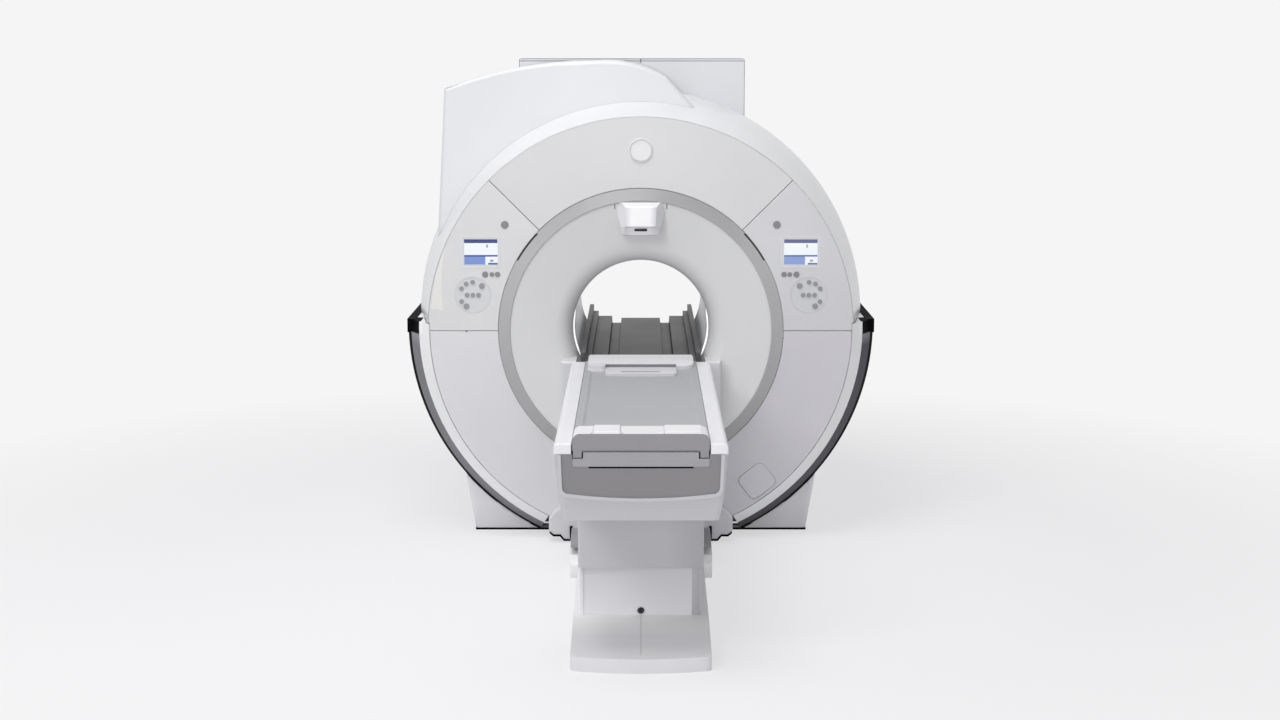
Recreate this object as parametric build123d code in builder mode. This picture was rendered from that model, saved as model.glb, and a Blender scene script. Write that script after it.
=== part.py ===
from build123d import *
import os
from math import cos, radians, sin, sqrt

os.makedirs("parts", exist_ok=True)

# Gantry, all sizes in millimetres. Depths run back from the front face.
BORE_RADIUS = 350
BORE_HEIGHT = 1090
GANTRY_LENGTH = 1750
RING_OUTER = 725
RING_INNER = RING_OUTER - 60
RING_RISE = 38
SLIT_START = 30
SLIT_SWEEP = 13.5
BODY_RADIUS = 1200
FACE_RADIUS = BODY_RADIUS - 114
SHOULDER_RADIUS = BODY_RADIUS - 51
SHOULDER_DEPTH = 350
BELL_DEPTH = 142
BELL_THROAT = 114
REAR_BELL_DEPTH = 280
REAR_BELL_RADIUS = 560
SKIN = 8
PANEL_SKIN = 6
PANEL_DEPTH = 30
SEAM = 3
GAP = 0.3

# Trim and bumper round the lower quarters
TRIM_REACH = 63.7
TRIM_TOP = 1.9
TRIM_INNER = FACE_RADIUS - 8
BUMPER_INNER = FACE_RADIUS + 53
BUMPER_OUTER = BODY_RADIUS + 9
TRIM_DEPTH = 77
BUMPER_DEPTH = 232
STRIP_BACK = 950
STRIP_HEIGHT = 70
STRIP_INNER = BUMPER_OUTER - 44

# Plinth, turret and tower
PLINTH_HALF_FLOOR = BODY_RADIUS - 330
PLINTH_SLOPE = 0.166
PLINTH_TOP = 470
PLINTH_FRONT = 203
TURRET_FRONT = 352
TURRET_BACK = 1290
TURRET_LEFT_LOW = BODY_RADIUS - 134
TURRET_LEFT_TOP = TURRET_LEFT_LOW - 47
TURRET_LOW_Z = BORE_HEIGHT + 410
TURRET_TOP_X = -263
TURRET_TOP_Z = BORE_HEIGHT + BODY_RADIUS + 158
TURRET_SHOULDER_Z = TURRET_TOP_Z - 140
TOWER_LEFT = 687
TOWER_RIGHT = 588
TOWER_TOP = TURRET_TOP_Z + 9
TOWER_LOW = BORE_HEIGHT + 810
TOWER_FRONT = 1300
TOWER_BACK = 1640

# Rear of the gantry
REAR_GROOVE = 4
LOUVRE_X = 820
LOUVRE_Z = 330
LOUVRE_LENGTH = 260
LOUVRE_SLOT = 10
LOUVRE_PITCH = 24
LOUVRE_COUNT = 9
CONNECTOR_WIDTH = 340
CONNECTOR_HEIGHT = 220

# Magnet and coils
CRYO_OUTER = BODY_RADIUS - 200
CRYO_INNER = 470
CRYO_FRONT = 250
CRYO_BACK = 1500
LINER_WALL = 6
RF_WALL = 16
GRADIENT_INNER = 384
RUNGS = 16
FOOT_X = 480
FOOT_WIDTH = 260
COLD_HEAD_X = -300
COLD_HEAD_DEPTH = 820
COLD_HEAD_RADIUS = 105

# Console
SCREEN_WIDTH = 177
SCREEN_HEIGHT = 137
SCREEN_X = 810.5
SCREEN_Z = BORE_HEIGHT + 404
ROUND_BUTTON_X = 688
ROUND_BUTTON_Z = BORE_HEIGHT + 542
ROUND_BUTTON_RADIUS = 19
ROW_Z = BORE_HEIGHT + 289
ROW_X = (790, 756, 727)
ROW_RADIUS = (15, 11.5, 13)
KEYPAD_X = 854
KEYPAD_Z = BORE_HEIGHT + 184
KEYPAD_RADIUS = 92
KEY_CIRCLE = 66
KEY_ANGLES = (90, 120, 150, 210)
LARGE_KEY_ANGLES = (45, 240)
KEY_RADIUS = 12
LARGE_KEY_RADIUS = 15
KEY_PITCH = 29
BUTTON_PROUD = 4
BUTTON_TRAVEL = 2
CAP_Z = BORE_HEIGHT + 917
CAP_RADIUS = 60
HATCH_RADIUS = FACE_RADIUS - 101
HATCH_TURN = -52.5
HATCH_WIDTH = 164
HATCH_LENGTH = 146
POD_HALF_TOP = 133
POD_HALF_LOW = 90
POD_FACE_HALF = 70
POD_TOP_Z = BORE_HEIGHT + 658
POD_LOW_Z = BORE_HEIGHT + 487

# Docking fairing and bridge
FAIRING_HALF = 407
FAIRING_TOP = BORE_HEIGHT - 145
FAIRING_FRONT = 75
FAIRING_TROUGH = 327
FOOT_HALF = 473
FOOT_TOP = 155
BRIDGE_REACH = 1885
BRIDGE_TOP = BORE_HEIGHT - 190
GROOVE_INNER = 116
GROOVE_OUTER = 173
GROOVE_DEPTH = 30
FLAT_RISE = 12
STEP_INNER = 254
STEP_RISE = 43
LIP_INNER = 282
LIP_OUTER = 306
LIP_RISE = 83

# Table
TABLE_REACH = 2220
BASE_BOW = 40
BASE_HALF = 290
BASE_TOP = 90
BASE_LIP = 60
BASE_BACK = 500
TABLE_FRONT = TABLE_REACH - 20
TABLE_BACK = 125
RAIL_INNER = 279
RAIL_OUTER = RAIL_INNER + 72
RAIL_TOP = BORE_HEIGHT - 140
RAIL_LOW = RAIL_TOP - 45
CRADLE_HALF = RAIL_INNER - 2
CRADLE_SURFACE = RAIL_TOP - 6
CRADLE_LOW = RAIL_TOP - 37.5
CAP_LENGTH = 170
CAP_TOP = RAIL_TOP + 40
CAP_FACE_LOW = RAIL_TOP - 27
HOOK_INNER = 238
HOOK_OUTER = 275
HOOK_LOW = RAIL_TOP - 57
HULL_HALF = 335
HULL_TOP = RAIL_TOP - 45
HULL_MID = RAIL_TOP - 222
HULL_LOW = RAIL_TOP - 325
HULL_LOW_HALF = HULL_HALF - 18
HULL_LOW_FRONT = TABLE_REACH - 62
HULL_LOW_BACK = 400
DECK_LOW = RAIL_TOP - 100
CHANNEL_LOW = RAIL_TOP - 65
CHANNEL_INNER = 232
LATCH_LOW = RAIL_TOP - 93
LATCH_TOP = RAIL_TOP - 35
LOWER_HALF = 262
LOWER_FRONT = 1690
LOWER_BACK = 515
LOWER_TOP = 400
MID_HALF = LOWER_HALF + 9
MID_FRONT = LOWER_FRONT + 15
MID_BACK = LOWER_BACK - 15
MID_LOW = 304
MID_TOP = HULL_LOW + 20
PANEL_HALF = LOWER_HALF - 12
LIFT_TRAVEL = 400
COLUMN_X = 110
COLUMN_DEPTH = 1100
HOLE_RADIUS = 15

# The front face stands so that the whole is centred on the origin
FACE = (TABLE_REACH - BRIDGE_REACH) / 2
AXIS = Axis((0, FACE, BORE_HEIGHT), (0, -1, 0))


def at_depth(depth):
    """Upright plane facing the front at a depth, with x to the right and y up from the floor."""
    return Plane(origin=(0, FACE + depth, 0), x_dir=(1, 0, 0), z_dir=(0, -1, 0))


def round_bore(depth):
    """The same plane with its origin on the bore's axis."""
    return Plane(origin=(0, FACE + depth, BORE_HEIGHT), x_dir=(1, 0, 0), z_dir=(0, -1, 0))


def at_height(height):
    """Level plane with its origin under the front face."""
    return Plane(origin=(0, FACE, height), x_dir=(1, 0, 0), z_dir=(0, 0, 1))


def radial(angle):
    """Half plane of the bore: x is the radius, y the depth, turned up from the right-hand side."""
    turn = radians(angle)
    return Plane(
        origin=(0, FACE, BORE_HEIGHT),
        x_dir=(cos(turn), 0, sin(turn)),
        z_dir=(-sin(turn), 0, cos(turn)),
    )


def side_view(x):
    """Upright plane along the machine: x is the depth and y the height."""
    return Plane(origin=(x, FACE, 0), x_dir=(0, 1, 0), z_dir=(1, 0, 0))


def rings(builder, radius):
    """Round edges of one radius."""
    circles = builder.edges().filter_by(GeomType.CIRCLE)
    return circles.filter_by(lambda edge: abs(edge.radius - radius) < 0.01)


def body_radius(depth):
    """Radius of the enclosure at a depth, the same from either end."""
    near = min(depth, GANTRY_LENGTH - depth)
    if near <= SHOULDER_DEPTH:
        share = near / SHOULDER_DEPTH
        return FACE_RADIUS + (SHOULDER_RADIUS - FACE_RADIUS) * (1.15 * share - 0.15 * share**2)
    share = (near - SHOULDER_DEPTH) / (GANTRY_LENGTH / 2 - SHOULDER_DEPTH)
    return SHOULDER_RADIUS + (BODY_RADIUS - SHOULDER_RADIUS) * (2 * share - share**2)


# Outline of the whole enclosure, used to fit its neighbours to it
with BuildPart() as envelope:
    with BuildSketch(radial(0)):
        with BuildLine():
            Line((0, 0), (FACE_RADIUS, 0))
            ThreePointArc(
                (FACE_RADIUS, 0),
                (body_radius(SHOULDER_DEPTH / 2) + 0.5, SHOULDER_DEPTH / 2),
                (SHOULDER_RADIUS + 0.5, SHOULDER_DEPTH),
            )
            ThreePointArc(
                (SHOULDER_RADIUS + 0.5, SHOULDER_DEPTH),
                (BODY_RADIUS + 0.5, GANTRY_LENGTH / 2),
                (SHOULDER_RADIUS + 0.5, GANTRY_LENGTH - SHOULDER_DEPTH),
            )
            ThreePointArc(
                (SHOULDER_RADIUS + 0.5, GANTRY_LENGTH - SHOULDER_DEPTH),
                (body_radius(SHOULDER_DEPTH / 2) + 0.5, GANTRY_LENGTH - SHOULDER_DEPTH / 2),
                (FACE_RADIUS, GANTRY_LENGTH),
            )
            Line((FACE_RADIUS, GANTRY_LENGTH), (0, GANTRY_LENGTH))
            Line((0, GANTRY_LENGTH), (0, 0))
        make_face()
    revolve(axis=AXIS)

# Cryostat of the magnet, with rounded ends and a port for the cold head
with BuildPart() as cryostat:
    with BuildSketch(round_bore(CRYO_FRONT)):
        Circle(CRYO_OUTER)
        Circle(CRYO_INNER, mode=Mode.SUBTRACT)
    extrude(amount=CRYO_FRONT - CRYO_BACK)
    fillet(rings(cryostat, CRYO_OUTER), 60)
    fillet(rings(cryostat, CRYO_INNER), 20)
cryostat.part.label = "magnet_cryostat"
export_step(cryostat.part, "parts/magnet_cryostat.step")

# Gradient coil in the cryostat's bore
with BuildPart() as gradient_coil:
    with BuildSketch(round_bore(CRYO_FRONT + 60)):
        Circle(CRYO_INNER - GAP)
        Circle(GRADIENT_INNER, mode=Mode.SUBTRACT)
    extrude(amount=CRYO_FRONT - CRYO_BACK + 120)
    chamfer(gradient_coil.edges().filter_by(GeomType.CIRCLE), 8)
gradient_coil.part.label = "gradient_coil"
export_step(gradient_coil.part, "parts/gradient_coil.step")

# Bore liner between the two bells
with BuildPart() as liner:
    with BuildSketch(round_bore(BELL_DEPTH + GAP)):
        Circle(BORE_RADIUS + LINER_WALL)
        Circle(BORE_RADIUS, mode=Mode.SUBTRACT)
    extrude(amount=BELL_DEPTH + REAR_BELL_DEPTH + 2 * GAP - GANTRY_LENGTH)
liner.part.label = "bore_liner"
export_step(liner.part, "parts/bore_liner.step")

# Birdcage body coil: two end rings joined by rungs, on the liner
RF_INNER = BORE_RADIUS + LINER_WALL + GAP
RF_LENGTH = 640
RF_FRONT = (GANTRY_LENGTH - RF_LENGTH) / 2
RF_WINDOW = 2 * 3.1416 * RF_INNER / RUNGS * 0.72
with BuildPart() as rf_coil:
    with BuildSketch(round_bore(RF_FRONT)):
        Circle(RF_INNER + RF_WALL)
        Circle(RF_INNER, mode=Mode.SUBTRACT)
    extrude(amount=-RF_LENGTH)
    with BuildSketch(Plane(origin=(0, FACE + GANTRY_LENGTH / 2, BORE_HEIGHT), z_dir=(0, 0, 1))):
        RectangleRounded(RF_WINDOW, RF_LENGTH - 120, 12)
    window = extrude(amount=RF_INNER + 2 * RF_WALL, mode=Mode.PRIVATE)
    for rung in range(RUNGS):
        add(window.rotate(AXIS, rung * 360 / RUNGS), mode=Mode.SUBTRACT)
rf_coil.part.label = "rf_body_coil"
export_step(rf_coil.part, "parts/rf_body_coil.step")

# Feet of the magnet, saddles on the floor under the cryostat
with BuildPart() as feet:
    with BuildSketch(at_height(0)):
        for x in (-FOOT_X, FOOT_X):
            with Locations(
                (x, CRYO_FRONT + 230),
                (x, CRYO_BACK - 230),
            ):
                Rectangle(FOOT_WIDTH, 200)
    extrude(amount=BORE_HEIGHT - 600)
    with BuildSketch(round_bore(CRYO_FRONT - 10)):
        Circle(CRYO_OUTER + GAP)
    extrude(amount=CRYO_FRONT - CRYO_BACK - 20, mode=Mode.SUBTRACT)
feet.part.label = "magnet_feet"
export_step(feet.part, "parts/magnet_feet.step")

# Cold head standing on the cryostat under the turret
COLD_HEAD_FOOT = BORE_HEIGHT + sqrt(CRYO_OUTER**2 - COLD_HEAD_X**2)
with BuildPart() as cold_head:
    with BuildSketch(at_height(COLD_HEAD_FOOT - 90)):
        with Locations((COLD_HEAD_X, COLD_HEAD_DEPTH)):
            Circle(COLD_HEAD_RADIUS)
    extrude(amount=150)
    with BuildSketch(at_height(COLD_HEAD_FOOT + 60)):
        with Locations((COLD_HEAD_X, COLD_HEAD_DEPTH)):
            Circle(COLD_HEAD_RADIUS * 0.62)
    extrude(amount=200)
    with BuildSketch(at_height(COLD_HEAD_FOOT + 150)):
        with Locations((COLD_HEAD_X, COLD_HEAD_DEPTH)):
            Circle(COLD_HEAD_RADIUS * 0.8)
    extrude(amount=60)
    with BuildSketch(at_height(COLD_HEAD_FOOT + 225)):
        with Locations((COLD_HEAD_X + 70, COLD_HEAD_DEPTH)):
            RectangleRounded(190, 110, 12)
    extrude(amount=110)
    with BuildSketch(round_bore(CRYO_FRONT)):
        Circle(CRYO_OUTER + GAP)
    extrude(amount=CRYO_FRONT - CRYO_BACK, mode=Mode.SUBTRACT)
cold_head.part.label = "cold_head"
export_step(cold_head.part, "parts/cold_head.step")

# Frame that carries the front panels, on eight stand-offs from the cryostat
FRAME_FRONT = PANEL_DEPTH + GAP
with BuildPart() as front_frame:
    with BuildSketch(round_bore(FRAME_FRONT)):
        Circle(body_radius(PANEL_DEPTH) - SKIN - 1)
        Circle(RING_OUTER + 12, mode=Mode.SUBTRACT)
        with PolarLocations((RING_OUTER + FACE_RADIUS) / 2, 8, start_angle=22.5):
            SlotOverall(330, 150, rotation=90, mode=Mode.SUBTRACT)
        with PolarLocations((RING_OUTER + FACE_RADIUS) / 2, 8):
            Circle(60)
    extrude(amount=-SKIN)
    with BuildSketch(round_bore(FRAME_FRONT)):
        with PolarLocations((RING_OUTER + FACE_RADIUS) / 2, 8, start_angle=0):
            Circle(32)
    extrude(amount=FRAME_FRONT - CRYO_FRONT + GAP)
front_frame.part.label = "front_frame"
export_step(front_frame.part, "parts/front_frame.step")

# Room that the trims and bumpers take, cut out of what stands round them
with BuildPart() as bumper_room:
    for start in (-TRIM_REACH - 1.5, 180 - TRIM_TOP - 0.3):
        with BuildSketch(radial(start)):
            with BuildLine():
                Polyline(
                    (TRIM_INNER - 2, -60),
                    (BUMPER_OUTER + 40, -60),
                    (BUMPER_OUTER + 40, BUMPER_DEPTH + 2),
                    (TRIM_INNER - 2, BUMPER_DEPTH + 2),
                    close=True,
                )
            make_face()
        revolve(axis=AXIS, revolution_arc=TRIM_REACH + TRIM_TOP + 1.8)

# Front panels: shallow moulded pans between the ring and the shoulder
PAN_INNER = RING_OUTER + 2


def wedge(start, sweep):
    """Corners of a slice of the face, wide enough to pass its edge."""
    reach = FACE_RADIUS * 1.6
    steps = 4
    turns = [radians(start + sweep * n / steps) for n in range(steps + 1)]
    return [(0, 0)] + [(reach * cos(t), reach * sin(t)) for t in turns]


def pan_sketch(start, sweep):
    """Slice of the ring-shaped face with half a seam taken off each radial edge."""
    with BuildSketch() as ring:
        Circle(FACE_RADIUS - 2)
        Circle(PAN_INNER, mode=Mode.SUBTRACT)
        with BuildLine():
            Polyline(*wedge(start, sweep), close=True)
        make_face(mode=Mode.INTERSECT)
        for turn in (start, start + sweep):
            with Locations(Rot(0, 0, turn)):
                Rectangle(2 * FACE_RADIUS, SEAM, mode=Mode.SUBTRACT)
    return ring.sketch


def pan(start, sweep):
    """Solid pan of one slice, open at the back."""
    outline = pan_sketch(start, sweep)
    with BuildPart() as shell:
        with BuildSketch(round_bore(0)):
            add(outline)
        extrude(amount=-PANEL_DEPTH)
        fillet(shell.faces().sort_by(Axis.Y)[0].edges(), 2.5)
        with BuildSketch(round_bore(PANEL_SKIN)):
            add(offset(outline, amount=-PANEL_SKIN))
        extrude(amount=-PANEL_DEPTH, mode=Mode.SUBTRACT)
    return shell.part


with BuildPart() as top_panel:
    add(pan(45, 90))
    with BuildSketch(at_depth(0)):
        with Locations((0, CAP_Z)):
            Circle(CAP_RADIUS - 8)
    extrude(amount=-PANEL_DEPTH, mode=Mode.SUBTRACT)
top_panel.part.label = "top_panel"
export_step(top_panel.part, "parts/top_panel.step")

# Plain cap with a shallow rim, plugged into the top panel
with BuildPart() as round_cap:
    with BuildSketch(at_depth(-GAP)):
        with Locations((0, CAP_Z)):
            Circle(CAP_RADIUS)
    extrude(amount=7)
    fillet(round_cap.faces().sort_by(Axis.Y)[0].edges(), 3)
    with BuildSketch(at_depth(-7 - GAP)):
        with Locations((0, CAP_Z)):
            Circle(CAP_RADIUS - 9)
    extrude(amount=-2.5, mode=Mode.SUBTRACT)
    with BuildSketch(at_depth(-GAP)):
        with Locations((0, CAP_Z)):
            Circle(CAP_RADIUS - 8.5)
            Circle(CAP_RADIUS - 14, mode=Mode.SUBTRACT)
    extrude(amount=-14)
round_cap.part.label = "round_cap"
export_step(round_cap.part, "parts/round_cap.step")

# Console panels, one on each side, opened for screen, buttons and keypad
consoles = {}
for side, start in ((-1, 135), (1, 0)):
    with BuildPart() as console_panel:
        add(pan(start, 45))
        with BuildSketch(at_depth(0)):
            with Locations((side * SCREEN_X, SCREEN_Z)):
                RectangleRounded(SCREEN_WIDTH + 1, SCREEN_HEIGHT + 1, 4)
            with Locations((side * ROUND_BUTTON_X, ROUND_BUTTON_Z)):
                Circle(ROUND_BUTTON_RADIUS + 0.5)
            for x, r in zip(ROW_X, ROW_RADIUS):
                with Locations((side * x, ROW_Z)):
                    Circle(r + 0.5)
            with Locations((side * KEYPAD_X, KEYPAD_Z)):
                Circle(KEYPAD_RADIUS + 0.5)
        extrude(amount=-PANEL_DEPTH, mode=Mode.SUBTRACT)
        add(bumper_room.part, mode=Mode.SUBTRACT)
    consoles[side] = console_panel.part
consoles[-1].label = "left_console_panel"
export_step(consoles[-1], "parts/left_console_panel.step")
consoles[1].label = "right_console_panel"
export_step(consoles[1], "parts/right_console_panel.step")


def lower_pan(start):
    """Lower panel, trimmed to the smaller radius inside the white trim."""
    with BuildSketch() as outline:
        Circle(TRIM_INNER - 2)
        Circle(PAN_INNER, mode=Mode.SUBTRACT)
        with BuildLine():
            Polyline(*wedge(start, 90), close=True)
        make_face(mode=Mode.INTERSECT)
        for turn in (start, start + 90):
            with Locations(Rot(0, 0, turn)):
                Rectangle(2 * FACE_RADIUS, SEAM, mode=Mode.SUBTRACT)
    with BuildPart() as shell:
        with BuildSketch(round_bore(0)):
            add(outline.sketch)
        extrude(amount=-PANEL_DEPTH)
        fillet(shell.faces().sort_by(Axis.Y)[0].edges(), 2.5)
        with BuildSketch(round_bore(PANEL_SKIN)):
            add(offset(outline.sketch, amount=-PANEL_SKIN))
        extrude(amount=-PANEL_DEPTH, mode=Mode.SUBTRACT)
    return shell.part


with BuildPart() as lower_left:
    add(lower_pan(180))
lower_left.part.label = "lower_left_panel"
export_step(lower_left.part, "parts/lower_left_panel.step")

# Hatch outline: a rounded tab that lies along the panel's edge
HATCH_X = HATCH_RADIUS * cos(radians(HATCH_TURN))
HATCH_Z = BORE_HEIGHT + HATCH_RADIUS * sin(radians(HATCH_TURN))
with BuildSketch() as hatch_tab:
    with Locations(Location((HATCH_X, HATCH_Z, 0), (0, 0, HATCH_TURN + 90))):
        RectangleRounded(HATCH_WIDTH, HATCH_LENGTH, 34)
with BuildPart() as lower_right:
    add(lower_pan(270))
    with BuildSketch(at_depth(0)):
        add(hatch_tab.sketch)
    extrude(amount=-PANEL_DEPTH, mode=Mode.SUBTRACT)
lower_right.part.label = "lower_right_panel"
export_step(lower_right.part, "parts/lower_right_panel.step")

with BuildPart() as hatch:
    with BuildSketch(at_depth(-6)):
        add(offset(hatch_tab.sketch, amount=-2))
    extrude(amount=-PANEL_SKIN - 10)
    fillet(hatch.faces().sort_by(Axis.Y)[0].edges(), 4)
    with BuildSketch(at_depth(PANEL_SKIN + GAP)):
        add(offset(hatch_tab.sketch, amount=6))
    extrude(amount=-4)
hatch.part.label = "service_hatch"
export_step(hatch.part, "parts/service_hatch.step")

# Bezel ring, a cone that rises to its inner edge
with BuildPart() as bezel_ring:
    with BuildSketch(radial(0)):
        with BuildLine():
            Polyline(
                (RING_OUTER, 0),
                (RING_OUTER, -2),
                (RING_INNER + 3, -RING_RISE),
                (RING_INNER - 1, -RING_RISE),
                (RING_INNER - 1, -RING_RISE + 10),
                (RING_OUTER - 8, 8),
                (RING_OUTER - 8, 24),
                (PAN_INNER - GAP, 24),
                (PAN_INNER - GAP, 8),
                (RING_OUTER, 8),
                close=True,
            )
        make_face()
    revolve(axis=AXIS)
    for start in (SLIT_START, 180 - SLIT_START - SLIT_SWEEP):
        with BuildSketch(radial(start)):
            with Locations((RING_OUTER - 3, 0)):
                Rectangle(8, 12)
        revolve(axis=AXIS, revolution_arc=SLIT_SWEEP, mode=Mode.SUBTRACT)
bezel_ring.part.label = "bezel_ring"
export_step(bezel_ring.part, "parts/bezel_ring.step")

# Front bell: a shallow cone that turns into the bore
BELL_EDGE = RING_INNER - 2
BELL_CONE = 83
with BuildPart() as front_bell:
    with BuildSketch(radial(0)):
        with BuildLine():
            FilletPolyline(
                (BELL_EDGE, -RING_RISE + 5),
                (BORE_RADIUS, -RING_RISE + 5 + BELL_CONE),
                (BORE_RADIUS, BELL_DEPTH),
                radius=BELL_THROAT,
            )
            Line((BORE_RADIUS, BELL_DEPTH), (BORE_RADIUS + LINER_WALL, BELL_DEPTH))
            FilletPolyline(
                (BORE_RADIUS + LINER_WALL, BELL_DEPTH),
                (BORE_RADIUS + LINER_WALL, -RING_RISE + 5 + BELL_CONE + LINER_WALL),
                (BELL_EDGE, -RING_RISE + 5 + LINER_WALL),
                radius=BELL_THROAT - LINER_WALL,
            )
            Line((BELL_EDGE, -RING_RISE + 5 + LINER_WALL), (BELL_EDGE, -RING_RISE + 5))
        make_face()
    revolve(axis=AXIS)
front_bell.part.label = "front_bell"
export_step(front_bell.part, "parts/front_bell.step")

# Everything behind the visible front surface, to seat pieces on it
with BuildPart() as front_solid:
    with BuildSketch(radial(0)):
        with BuildLine():
            Polyline(
                (FACE_RADIUS + 60, BELL_DEPTH + 60),
                (FACE_RADIUS + 60, -GAP),
                (RING_OUTER + 1, -GAP),
                (RING_OUTER + 1, -2 - GAP),
                (RING_INNER + 3, -RING_RISE - GAP),
                (RING_INNER - 2.5, -RING_RISE - GAP),
                (RING_INNER - 2.5, -RING_RISE + 5 - GAP),
            )
            FilletPolyline(
                (RING_INNER - 2.5, -RING_RISE + 5 - GAP),
                (BORE_RADIUS - GAP, -RING_RISE + 5 + BELL_CONE - GAP),
                (BORE_RADIUS - GAP, BELL_DEPTH + 60),
                radius=BELL_THROAT,
            )
            Line((BORE_RADIUS - GAP, BELL_DEPTH + 60), (FACE_RADIUS + 60, BELL_DEPTH + 60))
        make_face()
    revolve(axis=AXIS)

# Light pod hanging over the bore, with a lip and a window slot
with BuildPart() as light_pod:
    with BuildSketch(side_view(-POD_HALF_TOP - 10)):
        with BuildLine():
            Polyline(
                (60, POD_LOW_Z + 4),
                (-8, POD_LOW_Z),
                (-50, POD_LOW_Z + 8),
                (-56, POD_LOW_Z + 46),
                (-63, POD_LOW_Z + 52),
                (-60, POD_TOP_Z - 24),
                (-44, POD_TOP_Z),
                (60, POD_TOP_Z),
                close=True,
            )
        make_face()
    extrude(amount=2 * POD_HALF_TOP + 20)
    with BuildSketch(at_height(POD_LOW_Z - 10)):
        with BuildLine():
            Polyline(
                (-POD_HALF_TOP - 10, 60),
                (-POD_HALF_TOP - 10, -22),
                (15 - POD_HALF_TOP, -28),
                (-POD_FACE_HALF - 6, -62),
                (10 - POD_FACE_HALF, -66),
                (POD_FACE_HALF - 10, -66),
                (POD_FACE_HALF + 6, -62),
                (POD_HALF_TOP - 15, -28),
                (POD_HALF_TOP + 10, -22),
                (POD_HALF_TOP + 10, 60),
                close=True,
            )
        make_face()
    extrude(amount=POD_TOP_Z - POD_LOW_Z + 20, mode=Mode.INTERSECT)
    with BuildSketch(at_depth(-80)):
        with BuildLine():
            Polyline(
                (-POD_HALF_TOP, POD_TOP_Z + 10),
                (-POD_HALF_LOW, POD_LOW_Z - 5),
                (POD_HALF_LOW, POD_LOW_Z - 5),
                (POD_HALF_TOP, POD_TOP_Z + 10),
                close=True,
            )
        make_face()
    extrude(amount=-160, mode=Mode.INTERSECT)
    add(front_solid.part, mode=Mode.SUBTRACT)
    with BuildSketch(at_depth(-60)):
        with Locations((0, POD_LOW_Z + 34)):
            SlotOverall(66, 15)
    extrude(amount=-50, mode=Mode.SUBTRACT)
light_pod.part.label = "light_pod"
export_step(light_pod.part, "parts/light_pod.step")

# Front shoulder: whole over the upper half, a narrow band behind the bumpers
with BuildPart() as shoulder:
    with BuildSketch(radial(0)):
        with BuildLine():
            mid = body_radius(SHOULDER_DEPTH / 2)
            ThreePointArc(
                (FACE_RADIUS, 0), (mid, SHOULDER_DEPTH / 2), (SHOULDER_RADIUS, SHOULDER_DEPTH)
            )
            Line((SHOULDER_RADIUS, SHOULDER_DEPTH), (SHOULDER_RADIUS - SKIN, SHOULDER_DEPTH))
            ThreePointArc(
                (SHOULDER_RADIUS - SKIN, SHOULDER_DEPTH),
                (mid - SKIN, SHOULDER_DEPTH / 2),
                (FACE_RADIUS - SKIN + 7, 0),
            )
            Line((FACE_RADIUS - SKIN + 7, 0), (FACE_RADIUS, 0))
        make_face()
    revolve(axis=AXIS)
    add(bumper_room.part, mode=Mode.SUBTRACT)
    with BuildSketch(at_height(-200)):
        Rectangle(2 * FACE_RADIUS, 4 * BUMPER_DEPTH)
    extrude(amount=240, mode=Mode.SUBTRACT)
shoulder.part.label = "front_shoulder"
export_step(shoulder.part, "parts/front_shoulder.step")

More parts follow.
